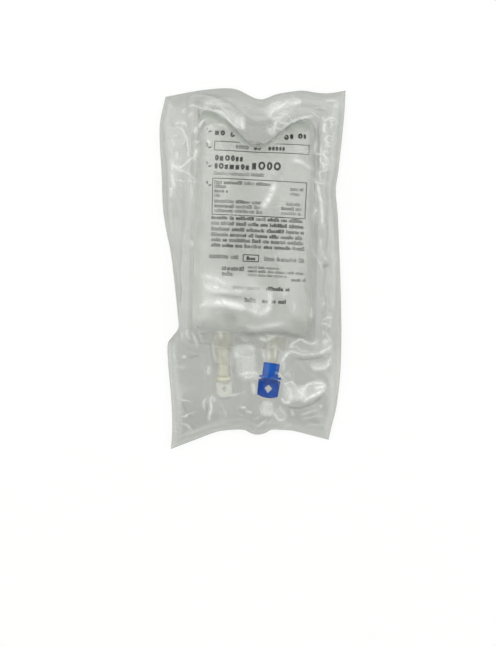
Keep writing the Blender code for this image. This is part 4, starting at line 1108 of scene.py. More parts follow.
# Blown film: nearly colourless with a soft sheen, milky along its folds and in patches, which is partly real
# stress-whitened film and partly painted highlight and painted reflection, and darker in painted shade along
# its furrows
OVERWRAP = Clear(
    "blown polyolefin overwrap film", tint="fcfcfb", haze=0.004, milk="f6f8f5", gloss=0.019, roughness=0.19,
    grain=(1.6, 0.010), swell=(9.0, 0.16), whitening=0.84, shade="b4b8b4",
)
# Thicker film behind the bag: greys the white table a little and shines more, as it lies flat
BACK_WEB = Clear(
    "smoky overwrap back web", tint="e0e1df", haze=0.012, milk="eceeea", gloss=0.050, roughness=0.22,
    grain=(1.6, 0.010), swell=(9.0, 0.12),
)
# Soft matt film: scatters enough to read as milky, and is clearer where the two films are welded
BAG_FILM_FINISH = Clear(
    "printed polyolefin bag film", tint="fdfdfd", haze=0.130, milk="f4f6f2", gloss=0.012, roughness=0.34,
    grain=(0.9, 0.010), swell=(12.0, 0.10), whitening=0.2,
)
# Clear liquid without a face of its own to shine: painted shade darkens it where its sides are steep,
# standing in for the dark that refraction gives there
SALINE = Clear(
    "saline", tint="fbfcfb", haze=0.010, milk="e3e8e4", gloss=0.0, roughness=0.1,
    grain=(8.0, 0.0), swell=(14.0, 0.0), shade="dde5df",
)
# Thick clear moulding: warm and cloudy, with a dull shine
PORT_CLEAR = Clear(
    "clear moulded polyolefin", tint="fbfbf8", haze=0.15, milk="eeede5", gloss=0.018, roughness=0.36,
    grain=(1.2, 0.010), swell=(6.0, 0.02),
)
# Rubber: matt and cream, lit a little from inside
STOPPER = Solid("cream synthetic rubber", "dcdbd8", "d2d1cb", roughness=0.7, grain=(0.8, 0.03), glow=0.1)
# Moulded plastics: even colour with faint clouds and a finely moulded skin
IVORY = Solid("ivory moulded polypropylene", "e4e2d4", "cfccb8", roughness=0.5, grain=(0.9, 0.01))
WHITE = Solid(
    "white moulded polypropylene", "d2d3cd", "c9cac4", roughness=0.5, grain=(1.0, 0.012), glow=0.1
)
# Dyed plastics: deep and matt, as the film over them already gives them its own shine
BLUE_COLLAR = Solid(
    "blue moulded collar", "0060c6", "00469c", roughness=0.55, grain=(0.9, 0.012), specular=0.03
)
BLUE_TAB = Solid(
    "blue moulded snap-off tab", "004cae", "003386", roughness=0.55, grain=(0.9, 0.012), specular=0.03
)
# Ink: nearly black and matt, but never quite even
INK = Solid("dark grey printing ink", "1c1c1a", "262623", roughness=0.55, grain=(0.5, 0.006))

# Clouds in a clear plastic's haze: size in mm, detail, range of the noise that they use, and how
# far they go from the finish's own haze
CLOUD_SIZE = 18.0
CLOUD_DETAIL = 3.0
CLOUD_RANGE = (0.35, 0.65)
CLOUD_SPREAD = 0.2
MILK_ROUGHNESS = 0.6
FACING_BLEND = 0.5
GRAZING_POWER = 5.0
GRAZING_SHARE = 0.75

# Clouds in a moulding's colour, in mm, and how deep light passes under its surface, in metres
SHADE_SIZE = 4.0
GLOW_DEPTH = 0.001

# Inputs of a coloured Mix node, and its output
MIX_FIRST, MIX_SECOND, MIXED = 6, 7, 2


class ShaderTree:
    """Builds one material's nodes."""

    def __init__(self, name: str) -> None:
        """Starts an empty material.

        Args:
            name: the new material's name.
        """
        self.material = bpy.data.materials.new(name)
        self.material.use_nodes = True
        self.tree = self.material.node_tree
        self.tree.nodes.clear()

    def add(self, kind: str, inputs: dict | None = None, **settings: object) -> bpy.types.Node:
        """Adds a node with its settings, values and links.

        Args:
            kind: the node's type.
            inputs: a value or another node's output for each named or numbered input.
            settings: the node's own properties.

        Returns:
            The new node.
        """
        node = self.tree.nodes.new(kind)
        for name, value in settings.items():
            setattr(node, name, value)
        for key, value in (inputs or {}).items():
            if isinstance(value, bpy.types.NodeSocket):
                self.tree.links.new(value, node.inputs[key])
            else:
                node.inputs[key].default_value = value
        return node

    def maths(self, operation: str, *terms: object) -> bpy.types.NodeSocket:
        """The result of a sum on values or sockets."""
        return self.add("ShaderNodeMath", dict(enumerate(terms)), operation=operation).outputs[0]

    def noise(self, size: float, detail: float = 2.0) -> bpy.types.NodeSocket:
        """Cloudy noise whose features are size mm across, on the piece's own coordinates."""
        place = self.add("ShaderNodeTexCoord").outputs["Object"]
        inputs = {"Vector": place, "Scale": 1 / MM / size, "Detail": detail}
        return self.add("ShaderNodeTexNoise", inputs).outputs["Fac"]

    def bump(
        self, size: float, depth: float, below: bpy.types.NodeSocket | None = None
    ) -> bpy.types.NodeSocket:
        """Unevenness of the surface.

        Args:
            size: across one swell, in mm.
            depth: of a swell, in mm.
            below: normal of the unevenness that it lies on.

        Returns:
            The normal to shade with.
        """
        inputs = {"Height": self.noise(size), "Distance": depth * MM, "Strength": 1.0}
        if below is not None:
            inputs["Normal"] = below
        return self.add("ShaderNodeBump", inputs).outputs["Normal"]

    def finish(self, shader: bpy.types.NodeSocket) -> bpy.types.Material:
        """Links the surface and returns the material."""
        self.add("ShaderNodeOutputMaterial", {"Surface": shader})
        return self.material


def clear_material(finish: Clear) -> bpy.types.Material:
    """Film, liquid or clear moulding: passes light, scatters a little of it and shines.

    Args:
        finish: the plastic's or liquid's looks.

    Returns:
        The material, which turns milky with painted highlight, and darker with painted shade, where the
        mesh's attributes say.
    """
    shader = ShaderTree(finish.name)
    normal = shader.bump(*finish.grain, below=shader.bump(*finish.swell))
    cloud = shader.add(
        "ShaderNodeMapRange",
        {
            "Value": shader.noise(CLOUD_SIZE, CLOUD_DETAIL),
            "From Min": CLOUD_RANGE[0], "From Max": CLOUD_RANGE[1],
            "To Min": finish.haze * (1 - CLOUD_SPREAD), "To Max": finish.haze * (1 + CLOUD_SPREAD),
        },
    ).outputs[0]
    # Milky folds from the mesh, partly painted highlight and painted reflection, add to the haze
    fold = shader.add("ShaderNodeAttribute", attribute_name="whitening").outputs["Fac"]
    haze = shader.maths("MULTIPLY_ADD", fold, finish.whitening, cloud)
    # Painted shade from the mesh turns the tint towards the shade colour
    away = shader.add("ShaderNodeAttribute", attribute_name="dimming").outputs["Fac"]
    tint = shader.add(
        "ShaderNodeMix",
        {"Factor": away, MIX_FIRST: colour(finish.tint), MIX_SECOND: colour(finish.shade)},
        data_type="RGBA",
    ).outputs[MIXED]
    through = shader.add("ShaderNodeBsdfTransparent", {"Color": tint}).outputs[0]
    milk = shader.add(
        "ShaderNodeBsdfPrincipled",
        {
            "Base Color": colour(finish.milk), "Roughness": MILK_ROUGHNESS,
            "Specular IOR Level": 0.0, "Normal": normal,
        },
    ).outputs[0]
    body = shader.add("ShaderNodeMixShader", {0: haze, 1: through, 2: milk}).outputs[0]
    if not finish.gloss:
        return shader.finish(body)
    facing = shader.add("ShaderNodeLayerWeight", {"Blend": FACING_BLEND, "Normal": normal}).outputs["Facing"]
    grazing = shader.maths("POWER", facing, GRAZING_POWER)
    mirror = shader.maths("MULTIPLY_ADD", grazing, GRAZING_SHARE, finish.gloss)
    shine = shader.add("ShaderNodeBsdfGlossy", {"Roughness": finish.roughness, "Normal": normal}).outputs[0]
    return shader.finish(shader.add("ShaderNodeMixShader", {0: mirror, 1: body, 2: shine}).outputs[0])


def solid_material(finish: Solid) -> bpy.types.Material:
    """Opaque moulding or ink: two close shades in clouds, and a fine moulded texture.

    Args:
        finish: the moulding's looks.

    Returns:
        The material.
    """
    shader = ShaderTree(finish.name)
    normal = shader.bump(*finish.grain)
    cloud = shader.noise(SHADE_SIZE, CLOUD_DETAIL)
    base = shader.add(
        "ShaderNodeMix",
        {"Factor": cloud, MIX_FIRST: colour(finish.base), MIX_SECOND: colour(finish.shade)},
        data_type="RGBA",
    ).outputs[MIXED]
    inputs = {
        "Base Color": base, "Roughness": finish.roughness,
        "Specular IOR Level": finish.specular, "Normal": normal,
    }
    if finish.glow:
        inputs["Subsurface Weight"] = finish.glow
        inputs["Subsurface Scale"] = GLOW_DEPTH
    return shader.finish(shader.add("ShaderNodeBsdfPrincipled", inputs).outputs[0])


# Meshes


def closed_sheet(
    name: str, tops: Array, bottoms: Array, cells: Array, **marks: Array
) -> bpy.types.Object:
    """Two stacked layers of points joined round their rim into one closed piece.

    Args:
        name: the piece's name.
        tops: points of the upper layer, one row each.
        bottoms: points of the lower layer, in the same order.
        cells: four point numbers a face, anticlockwise from above.
        marks: a value for each point, kept under its name for the material.

    Returns:
        The new object, shaded smooth.
    """
    count = len(tops)
    edges = np.concatenate([cells[:, (k, (k + 1) % 4)] for k in range(4)])
    keys = edges[:, 0].astype(np.int64) * count + edges[:, 1]
    flipped = edges[:, 1].astype(np.int64) * count + edges[:, 0]
    rim = edges[~np.isin(keys, flipped)]
    walls = np.column_stack((rim[:, 0], rim[:, 0] + count, rim[:, 1] + count, rim[:, 1]))
    faces = np.concatenate((cells, cells[:, ::-1] + count, walls))
    mesh = bpy.data.meshes.new(name)
    mesh.from_pydata(np.concatenate((tops, bottoms)).tolist(), [], faces.tolist())
    mesh.shade_smooth()
    for mark, values in marks.items():
        layer = mesh.attributes.new(mark, "FLOAT", "POINT")
        layer.data.foreach_set("value", np.tile(values, 2).astype(np.float32))
    made = bpy.data.objects.new(name, mesh)
    bpy.context.scene.collection.objects.link(made)
    mesh.validate()
    return made


def grid_cells(columns: int, rows: int) -> Array:
    """Faces of a grid whose points are numbered row by row.

    Args:
        columns: faces across.
        rows: faces along.

    Returns:
        Four point numbers for each face.
    """
    i, j = np.meshgrid(np.arange(columns), np.arange(rows))
    first = (j * (columns + 1) + i).ravel()
    return np.column_stack((first, first + 1, first + columns + 2, first + columns + 1))


def crowded(count: int, eased: float, even: float) -> Array:
    """Shares from -1 to 1 that lie closer together at both ends.

    Args:
        count: how many there are.
        eased: how far the crowded part of them reaches.
        even: how far the evenly spaced part reaches.

    Returns:
        The shares in order.
    """
    shares = np.linspace(-1, 1, count)
    return np.sin(shares * math.pi / 2) * eased + shares * even


def settle(piece: bpy.types.Object, material: bpy.types.Material, slot: str, *stands_for: str) -> None:
    """Gives a piece its material and body, and hides the nodes that it stands for.

    Args:
        piece: the finished piece.
        material: its material.
        slot: name of a material slot; not used.
        stands_for: the nodes that it replaces.
    """
    piece.data.materials.clear()
    piece.data.materials.append(material)
    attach(piece, BODY)
    if stands_for:
        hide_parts(*stands_for)
    log.info("%s: %d faces", piece.name, len(piece.data.polygons))


# Pieces


@dataclass
class Overwrap:
    """The clear outer pouch: a crumpled front web over the bag and a back web on the table.

    Attributes:
        columns: faces across the front.
        rows: faces along the front.
        back_columns: faces across the back.
        back_rows: faces along the back.
        web_gap: least space between the webs, in metres.
    """

    columns: int = 154
    rows: int = 306
    back_columns: int = 108
    back_rows: int = 216
    web_gap: float = 0.0003

    def shares(self, columns: int, rows: int) -> tuple[Array, Array]:
        """Shares across and along of a grid's points."""
        across, along = np.meshgrid(np.linspace(0, 1, columns + 1), np.linspace(0, 1, rows + 1))
        return across.ravel(), along.ravel()

    def front(self, material: bpy.types.Material) -> bpy.types.Object:
        """Makes the front web, drawn over the bag and both ports.

        Args:
            material: the film.

        Returns:
            The piece.
        """
        across, along = self.shares(self.columns, self.rows)
        x, y = wrap_place(across, along)
        top, white, dim = front_field(x, y, across, along)
        least = back_height(across, along) + WRAP_FILM + self.web_gap + WRAP_FILM
        top = np.maximum(top, least)
        # The film carries its milky folds, partly real and partly painted highlight and painted reflection,
        # and its painted shade
        piece = closed_sheet(
            "overwrap_front", np.column_stack((x, y, top)), np.column_stack((x, y, top - WRAP_FILM)),
            grid_cells(self.columns, self.rows), whitening=white, dimming=dim,
        )
        settle(piece, material, "overwrap_film", "overwrap_front_film")
        return piece

    def back(self, material: bpy.types.Material) -> bpy.types.Object:
        """Makes the back web, flat on the table and curling up to the rim.

        Args:
            material: the film.

        Returns:
            The piece.
        """
        across, along = self.shares(self.back_columns, self.back_rows)
        x, y = wrap_place(across, along)
        low = back_height(across, along)
        piece = closed_sheet(
            "overwrap_back", np.column_stack((x, y, low + WRAP_FILM)), np.column_stack((x, y, low)),
            grid_cells(self.back_columns, self.back_rows),
        )
        settle(piece, material, "overwrap_film", "overwrap_back_film")
        return piece

    def build(self, material: bpy.types.Material, web: bpy.types.Material) -> None:
        """Args:
            material: the front web's film.
            web: the back web's film.
        """
        front, back = self.front(material), self.back(web)


# Painted shade on the saline, standing in for the dark that refraction gives where its sides are steep: how
# much, what the head adds, the fullness from which it fades and over which it does, and what is left of it at
# the very rim
SALINE_SHADE = 0.22
SALINE_HEAD_SHADE = 0.6
SALINE_HEAD_FROM = 0.45
SALINE_HEAD_OVER = 0.5
SALINE_STEEP_FROM = 0.03
SALINE_STEEP_OVER = 0.33
SALINE_RIM = 0.35
SALINE_RIM_OVER = 0.07


class Side(Enum):
    """A film of the bag. Its value is the way that its outer face looks, up or down."""

    FRONT = 1
    BACK = -1


@dataclass
class Bag:
    """The filled bag: two welded films with a hanging flap, and the saline between them.

    Attributes:
        columns: faces across the chamber.
        rows: faces along the chamber.
        column_crowding: eased and even shares of the columns' places.
        row_crowding: the same for the rows.
        seal_columns: faces across each side weld.
        seal_rows: faces along each end weld.
        flap_rows: faces along the hanging flap.
        flap_corner: how much the flap's corners are cut back.
        flap_corner_power: how tight they are.
        flap_end_power: how close to its end that happens.
        flap_fall: how soon the flap falls to the table.
        weld_line: fullness at the weld's inner edge, its spread, and the haze there.
        weld_edge: fullness below which film is welded.
        weld_clearing: how milky the weld is, below zero as it is clearer than the chamber.
        foot_weld_shade: painted shade on the foot weld, which darkens it.
        slot_place: share of the way along the flap to its slot.
        slot_steps: steps round each end of the slot.
        cutter_low: underside of the slot's cutter.
        cutter_height: its height.
        saline_columns: faces across the saline.
        saline_rows: faces along it.
        saline_reach: shares of the chamber's width and length that it fills.
        saline_clearance: its distance from the films' inner faces, in films.
        saline_least: half its least thickness.
    """

    columns: int = 96
    rows: int = 150
    column_crowding: Place = (0.55, 0.45)
    row_crowding: Place = (0.65, 0.35)
    seal_columns: int = 3
    seal_rows: int = 6
    flap_rows: int = 14
    flap_corner: float = 0.08
    flap_corner_power: int = 12
    flap_end_power: int = 4
    flap_fall: float = 1.2
    weld_line: tuple[float, float, float] = (0.01, 0.02, 0.3)
    weld_edge: float = 0.015
    weld_clearing: float = -0.85
    foot_weld_shade: float = 0.03
    slot_place: float = 0.62
    slot_steps: int = 12
    cutter_low: float = -0.01
    cutter_height: float = 0.03
    saline_columns: int = 60
    saline_rows: int = 90
    saline_reach: Place = (0.975, 0.985)
    saline_clearance: float = 1.3
    saline_least: float = 0.0001

    def side_welds(self, a: Array, b: Array, along: Array) -> tuple[Array, Array]:
        """Adds both side welds' points to the chamber's.

        Args:
            a: places of the chamber's points across the bag, in rows.
            b: places of the same points along the bag.
            along: each row's share of the chamber.

        Returns:
            The wider grid's places across and along the bag.
        """
        side_a, side_b = [], []
        edge = CHAMBER_HALF + SIDE_SEAL
        inward = np.linspace(1, 0, self.seal_columns + 1)[:-1]
        outward = np.linspace(0, 1, self.seal_columns + 1)[1:]
        for sign, column, share in ((-1, 0, inward), (1, -1, outward)):
            outer_a = np.full(len(along), sign * edge)
            outer_b = along * np.where(along >= 0, chamber_head(outer_a), -chamber_foot(outer_a))
            side_a.append(a[:, column, None] + (outer_a - a[:, column])[:, None] * share)
            side_b.append(b[:, column, None] + (outer_b - b[:, column])[:, None] * share)
        return np.hstack((side_a[0], a, side_a[1])), np.hstack((side_b[0], b, side_b[1]))

    def end_welds(self, a: Array, b: Array) -> tuple[Array, Array]:
        """Adds the foot and head welds' points, and cuts the four corners back.

        Args:
            a: places of the grid's points across the bag, in rows.
            b: places of the same points along the bag.

        Returns:
            The longer grid's places across and along the bag.
        """
        foot_share = np.linspace(1, 0, self.seal_rows + 1)[:-1, None]
        head_share = np.linspace(0, 1, self.seal_rows + 1)[1:, None]
        foot_a, foot_b = np.repeat(a[:1], self.seal_rows, 0), b[:1] - foot_share * FOOT_SEAL
        head_a, head_b = np.repeat(a[-1:], self.seal_rows, 0), b[-1:] + head_share * HEAD_SEAL
        a, b = np.vstack((foot_a, a, head_a)), np.vstack((foot_b, b, head_b))
        for i, side in ((0, 1), (-1, -1)):
            for j, inward in ((0, 1), (-1, -1)):
                a[j, i] += side * SEAL_CORNER / 2
                b[j, i] += inward * SEAL_CORNER / 2
        return a, b

    def flap(self, a: Array, b: Array, across: Array) -> tuple[Array, Array, Array, Array]:
        """Adds the hanging flap to the welded grid.

        Args:
            a: places of the grid's points across the bag, in rows.
            b: places of the same points along the bag.
            across: each chamber column's share.

        Returns:
            All points' places across and along the bag, the faces, and each point's flap share.
        """
        rows, columns = a.shape
        first, last = (self.seal_columns + int(np.argmin(np.abs(across - share))) for share in FLAP_SHARES)
        base = (rows - 1) * columns
        base_a, base_b = a[-1, first : last + 1], b[-1, first : last + 1]
        middle, end_b = (base_a[0] + base_a[-1]) / 2, base_b[0] + FLAP_LENGTH
        count = last - first + 1
        flap_a, flap_b, shares, flap_cells = [], [], [], []
        cut = self.flap_corner * (np.abs(np.linspace(-1, 1, count)) ** self.flap_corner_power)
        for row in range(1, self.flap_rows + 1):
            share = row / self.flap_rows
            spread = 1 + (FLAP_SPREAD - 1) * float(smooth_step(np.float64(share)))
            flap_a.append(middle + (base_a - middle) * spread)
            flap_b.append(base_b + (end_b - base_b) * share * (1 - cut * share**self.flap_end_power))
            shares.append(np.full(count, share))
        start = rows * columns
        for row in range(self.flap_rows):
            for i in range(count - 1):
                low = base + first + i if row == 0 else start + (row - 1) * count + i
                high = start + row * count + i
                flap_cells.append((low, low + 1, high + 1, high))
        cells = np.concatenate((grid_cells(columns - 1, rows - 1), np.array(flap_cells)))
        a, b = np.concatenate((a.ravel(), *flap_a)), np.concatenate((b.ravel(), *flap_b))
        return a, b, cells, np.concatenate((np.zeros(start), *shares))

    def lattice(self) -> tuple[Array, Array, Array, Array]:
        """Lays out the films' points and faces.

        Returns:
            Places across and along the bag, the faces, and each point's flap share.
        """
        across = crowded(self.columns + 1, *self.column_crowding)
        along = crowded(self.rows + 1, *self.row_crowding)
        a, b = chamber_place(*np.meshgrid(across, along))
        a, b = self.end_welds(*self.side_welds(a, b, along))
        return self.flap(a, b, across)

    def film(self, side: Side, material: bpy.types.Material) -> bpy.types.Object:
        """Makes one film with its welds and flap.

        Args:
            side: which film.
            material: its material.

        Returns:
            The piece.
        """
        name, outward = f"bag_{side.name.lower()}", side.value
        a, b, cells, flap = self.lattice()
        x, y = to_world(a, b)
        full = fullness(a, b)
        outer = bag_top(a, b) if side is Side.FRONT else bag_underside(a, b)
        weld = seam_height(a, b) + outward * (GAP / 2 + port_bulge(a, b))
        inner = outer - outward * BAG_FILM
        inner = np.maximum(inner, weld) if side is Side.FRONT else np.minimum(inner, weld)
        inner = np.where(full == 0, weld, inner)
        hang = PORT_HEIGHT + (FLAP_END_HEIGHT - PORT_HEIGHT) * smooth_step(self.flap_fall * flap)
        in_flap = flap > 0
        inner = np.where(in_flap, hang + outward * GAP / 2, inner)
        outer = np.where(in_flap, hang + outward * (GAP / 2 + BAG_FILM), outer)
        tops, bottoms = (outer, inner) if side is Side.FRONT else (inner, outer)
        welded = 1 - smooth_step(full / self.weld_edge)
        edge_at, edge_spread, edge_haze = self.weld_line
        white = np.exp(-(((full - edge_at) / edge_spread) ** 2)) * edge_haze + self.weld_clearing * welded
        # Painted shade darkens the foot weld
        piece = closed_sheet(
            name, np.column_stack((x, y, tops)), np.column_stack((x, y, bottoms)), cells,
            whitening=white, dimming=self.foot_weld_shade * welded * (b < 0),
        )
        self.cut_slot(piece, a, b, flap)
        settle(piece, material, "bag_film", name + "_film")
        return piece

    def cut_slot(self, piece: bpy.types.Object, a: Array, b: Array, flap: Array) -> None:
        """Cuts the hanging slot through the flap.

        Args:
            piece: the film.
            a: places of its points across the bag.
            b: places of its points along the bag.
            flap: each point's share of the flap.
        """
        on_flap = flap > 0
        middle = (a[on_flap].min() + a[on_flap].max()) / 2
        low = b[on_flap].min()
        along = low + self.slot_place * (b[on_flap].max() - low)
        centre = to_world(np.float64(middle), np.float64(along))
        outline = []
        for side in (1, -1):
            for step in range(self.slot_steps + 1):
                angle = math.pi * (step / self.slot_steps - 0.5)
                outline.append((
                    side * (SLOT_LENGTH / 2 - SLOT_WIDTH / 2 + SLOT_WIDTH / 2 * math.cos(angle)),
                    side * SLOT_WIDTH / 2 * math.sin(angle),
                ))
        maker = bmesh.new()
        face = maker.faces.new([maker.verts.new((px, py, self.cutter_low)) for px, py in outline])
        grown = bmesh.ops.extrude_face_region(maker, geom=[face])
        moved = [item for item in grown["geom"] if isinstance(item, bmesh.types.BMVert)]
        bmesh.ops.translate(maker, verts=moved, vec=(0, 0, self.cutter_height))
        bmesh.ops.recalc_face_normals(maker, faces=maker.faces)
        mesh = bpy.data.meshes.new("slot_cutter")
        maker.to_mesh(mesh)
        maker.free()
        cutter = bpy.data.objects.new("slot_cutter", mesh)
        cutter.matrix_world = Matrix.Translation((*centre, 0)) @ Matrix.Rotation(BAG_TURN, 4, "Z")
        bpy.context.scene.collection.objects.link(cutter)
        modifier = piece.modifiers.new("slot", "BOOLEAN")
        modifier.object = cutter
        modifier.solver = "EXACT"
        bpy.ops.object.select_all(action="DESELECT")
        piece.select_set(True)
        bpy.context.view_layer.objects.active = piece
        bpy.ops.object.modifier_apply(modifier=modifier.name)
        bpy.data.objects.remove(cutter)

    def saline_shade(self, a: Array, b: Array) -> Array:
        """Painted shade on the saline, standing in for refraction: most on its steep sides, towards the head.

        Args:
            a: places across the bag.
            b: places along the bag.

        Returns:
            The painted shade at each place.
        """
        full = fullness(a, b)
        head = smooth_step((along_chamber(a, b) - SALINE_HEAD_FROM) / SALINE_HEAD_OVER)
        level = SALINE_SHADE + SALINE_HEAD_SHADE * head
        steep = (1 - smooth_step((full - SALINE_STEEP_FROM) / SALINE_STEEP_OVER)) * level
        return steep * (SALINE_RIM + (1 - SALINE_RIM) * smooth_step(full / SALINE_RIM_OVER))

    def saline(self, material: bpy.types.Material) -> bpy.types.Object:
        """Makes the liquid that fills the chamber.

        Args:
            material: the saline.

        Returns:
            The piece.
        """
        across = crowded(self.saline_columns + 1, self.saline_reach[0], 0.0)
        along = crowded(self.saline_rows + 1, self.saline_reach[1], 0.0)
        u, v = np.meshgrid(across, along)
        a, b = chamber_place(u.ravel(), v.ravel())
        x, y = to_world(a, b)
        gap = BAG_FILM + GAP
        middle = seam_height(a, b)
        top = np.maximum(bag_top(a, b) - gap * self.saline_clearance, middle + self.saline_least)
        low = np.minimum(bag_underside(a, b) + gap * self.saline_clearance, middle - self.saline_least)
        # The saline carries painted shade on its steep sides
        piece = closed_sheet(
            "saline", np.column_stack((x, y, top)), np.column_stack((x, y, low)),
            grid_cells(self.saline_columns, self.saline_rows), dimming=self.saline_shade(a, b),
        )
        settle(piece, material, "saline", "saline_fluid")
        return piece

    def build(self, film: bpy.types.Material, liquid: bpy.types.Material) -> None:
        """Args:
            film: the films' material.
            liquid: the saline's material.
        """
        back, front = self.film(Side.BACK, film), self.film(Side.FRONT, film)
        self.saline(liquid)


# Print

# Type above this height is drawn as large type, which has its own widths, fill and marks
LARGE_TYPE = 3.8
LARGE_WIDTHS = (0.55, 0.6, 0.66, 0.72, 0.85)
SMALL_WIDTHS = (0.4, 0.6, 0.6, 0.7, 0.8)
LARGE_FILL = (1.0, 1.15)
SMALL_FILL = (0.75, 1.3)
RISES = (0.85, 0.85, 1.0, 1.25)
LETTER_SPACE = 0.16
STROKE_SHARE = 0.42
SMALL_STROKE_SHARE = 0.49
BAR_BELOW = 0.55
BAR_WEIGHT = 1.2
BLOCK_WIDTH = 0.84
BLOCK_COURSE = 0.39
RING_TURNS = 12
RULE_STEP = 2.2
STEEPEST_PRINT = 1.6 * MM

# Rows of type on the label, as heights in chart squares and the share that is inked
ROW_SLOPE = 0.049
NOTE_SLOPE = 0.047
FRAME_WEIGHT = 0.7
BADGE_WEIGHT = 0.8
MARK_WEIGHT = 1.5
MARK_DOWNS = (133.4, 149.4, 168.0, 187.0)
MARK_LEFT = 205.8
MARK_RIGHT = 211.6
MARK_RISE = 1.3

# Numbers at the filling marks
NUMBER_DOWNS = (131.4, 147.4, 166.0, 185.0)
NUMBER_LEFT = 206.4
NUMBER_SIZE = 4.6 * CHART_SQUARE
NUMBER_HALF_THICKNESS = 0.00002
NUMBER_BOLDNESS = 0.00014
NUMBER_LIFT = 0.00010
NUMBER_TURN = math.radians(10)


class Mark(Enum):
    """A plain shape that stands in a letter's place."""

    FRAME = "frame"
    RING = "ring"
    BLOCK = "block"


LARGE_MARKS = (Mark.RING, Mark.RING, Mark.BLOCK)


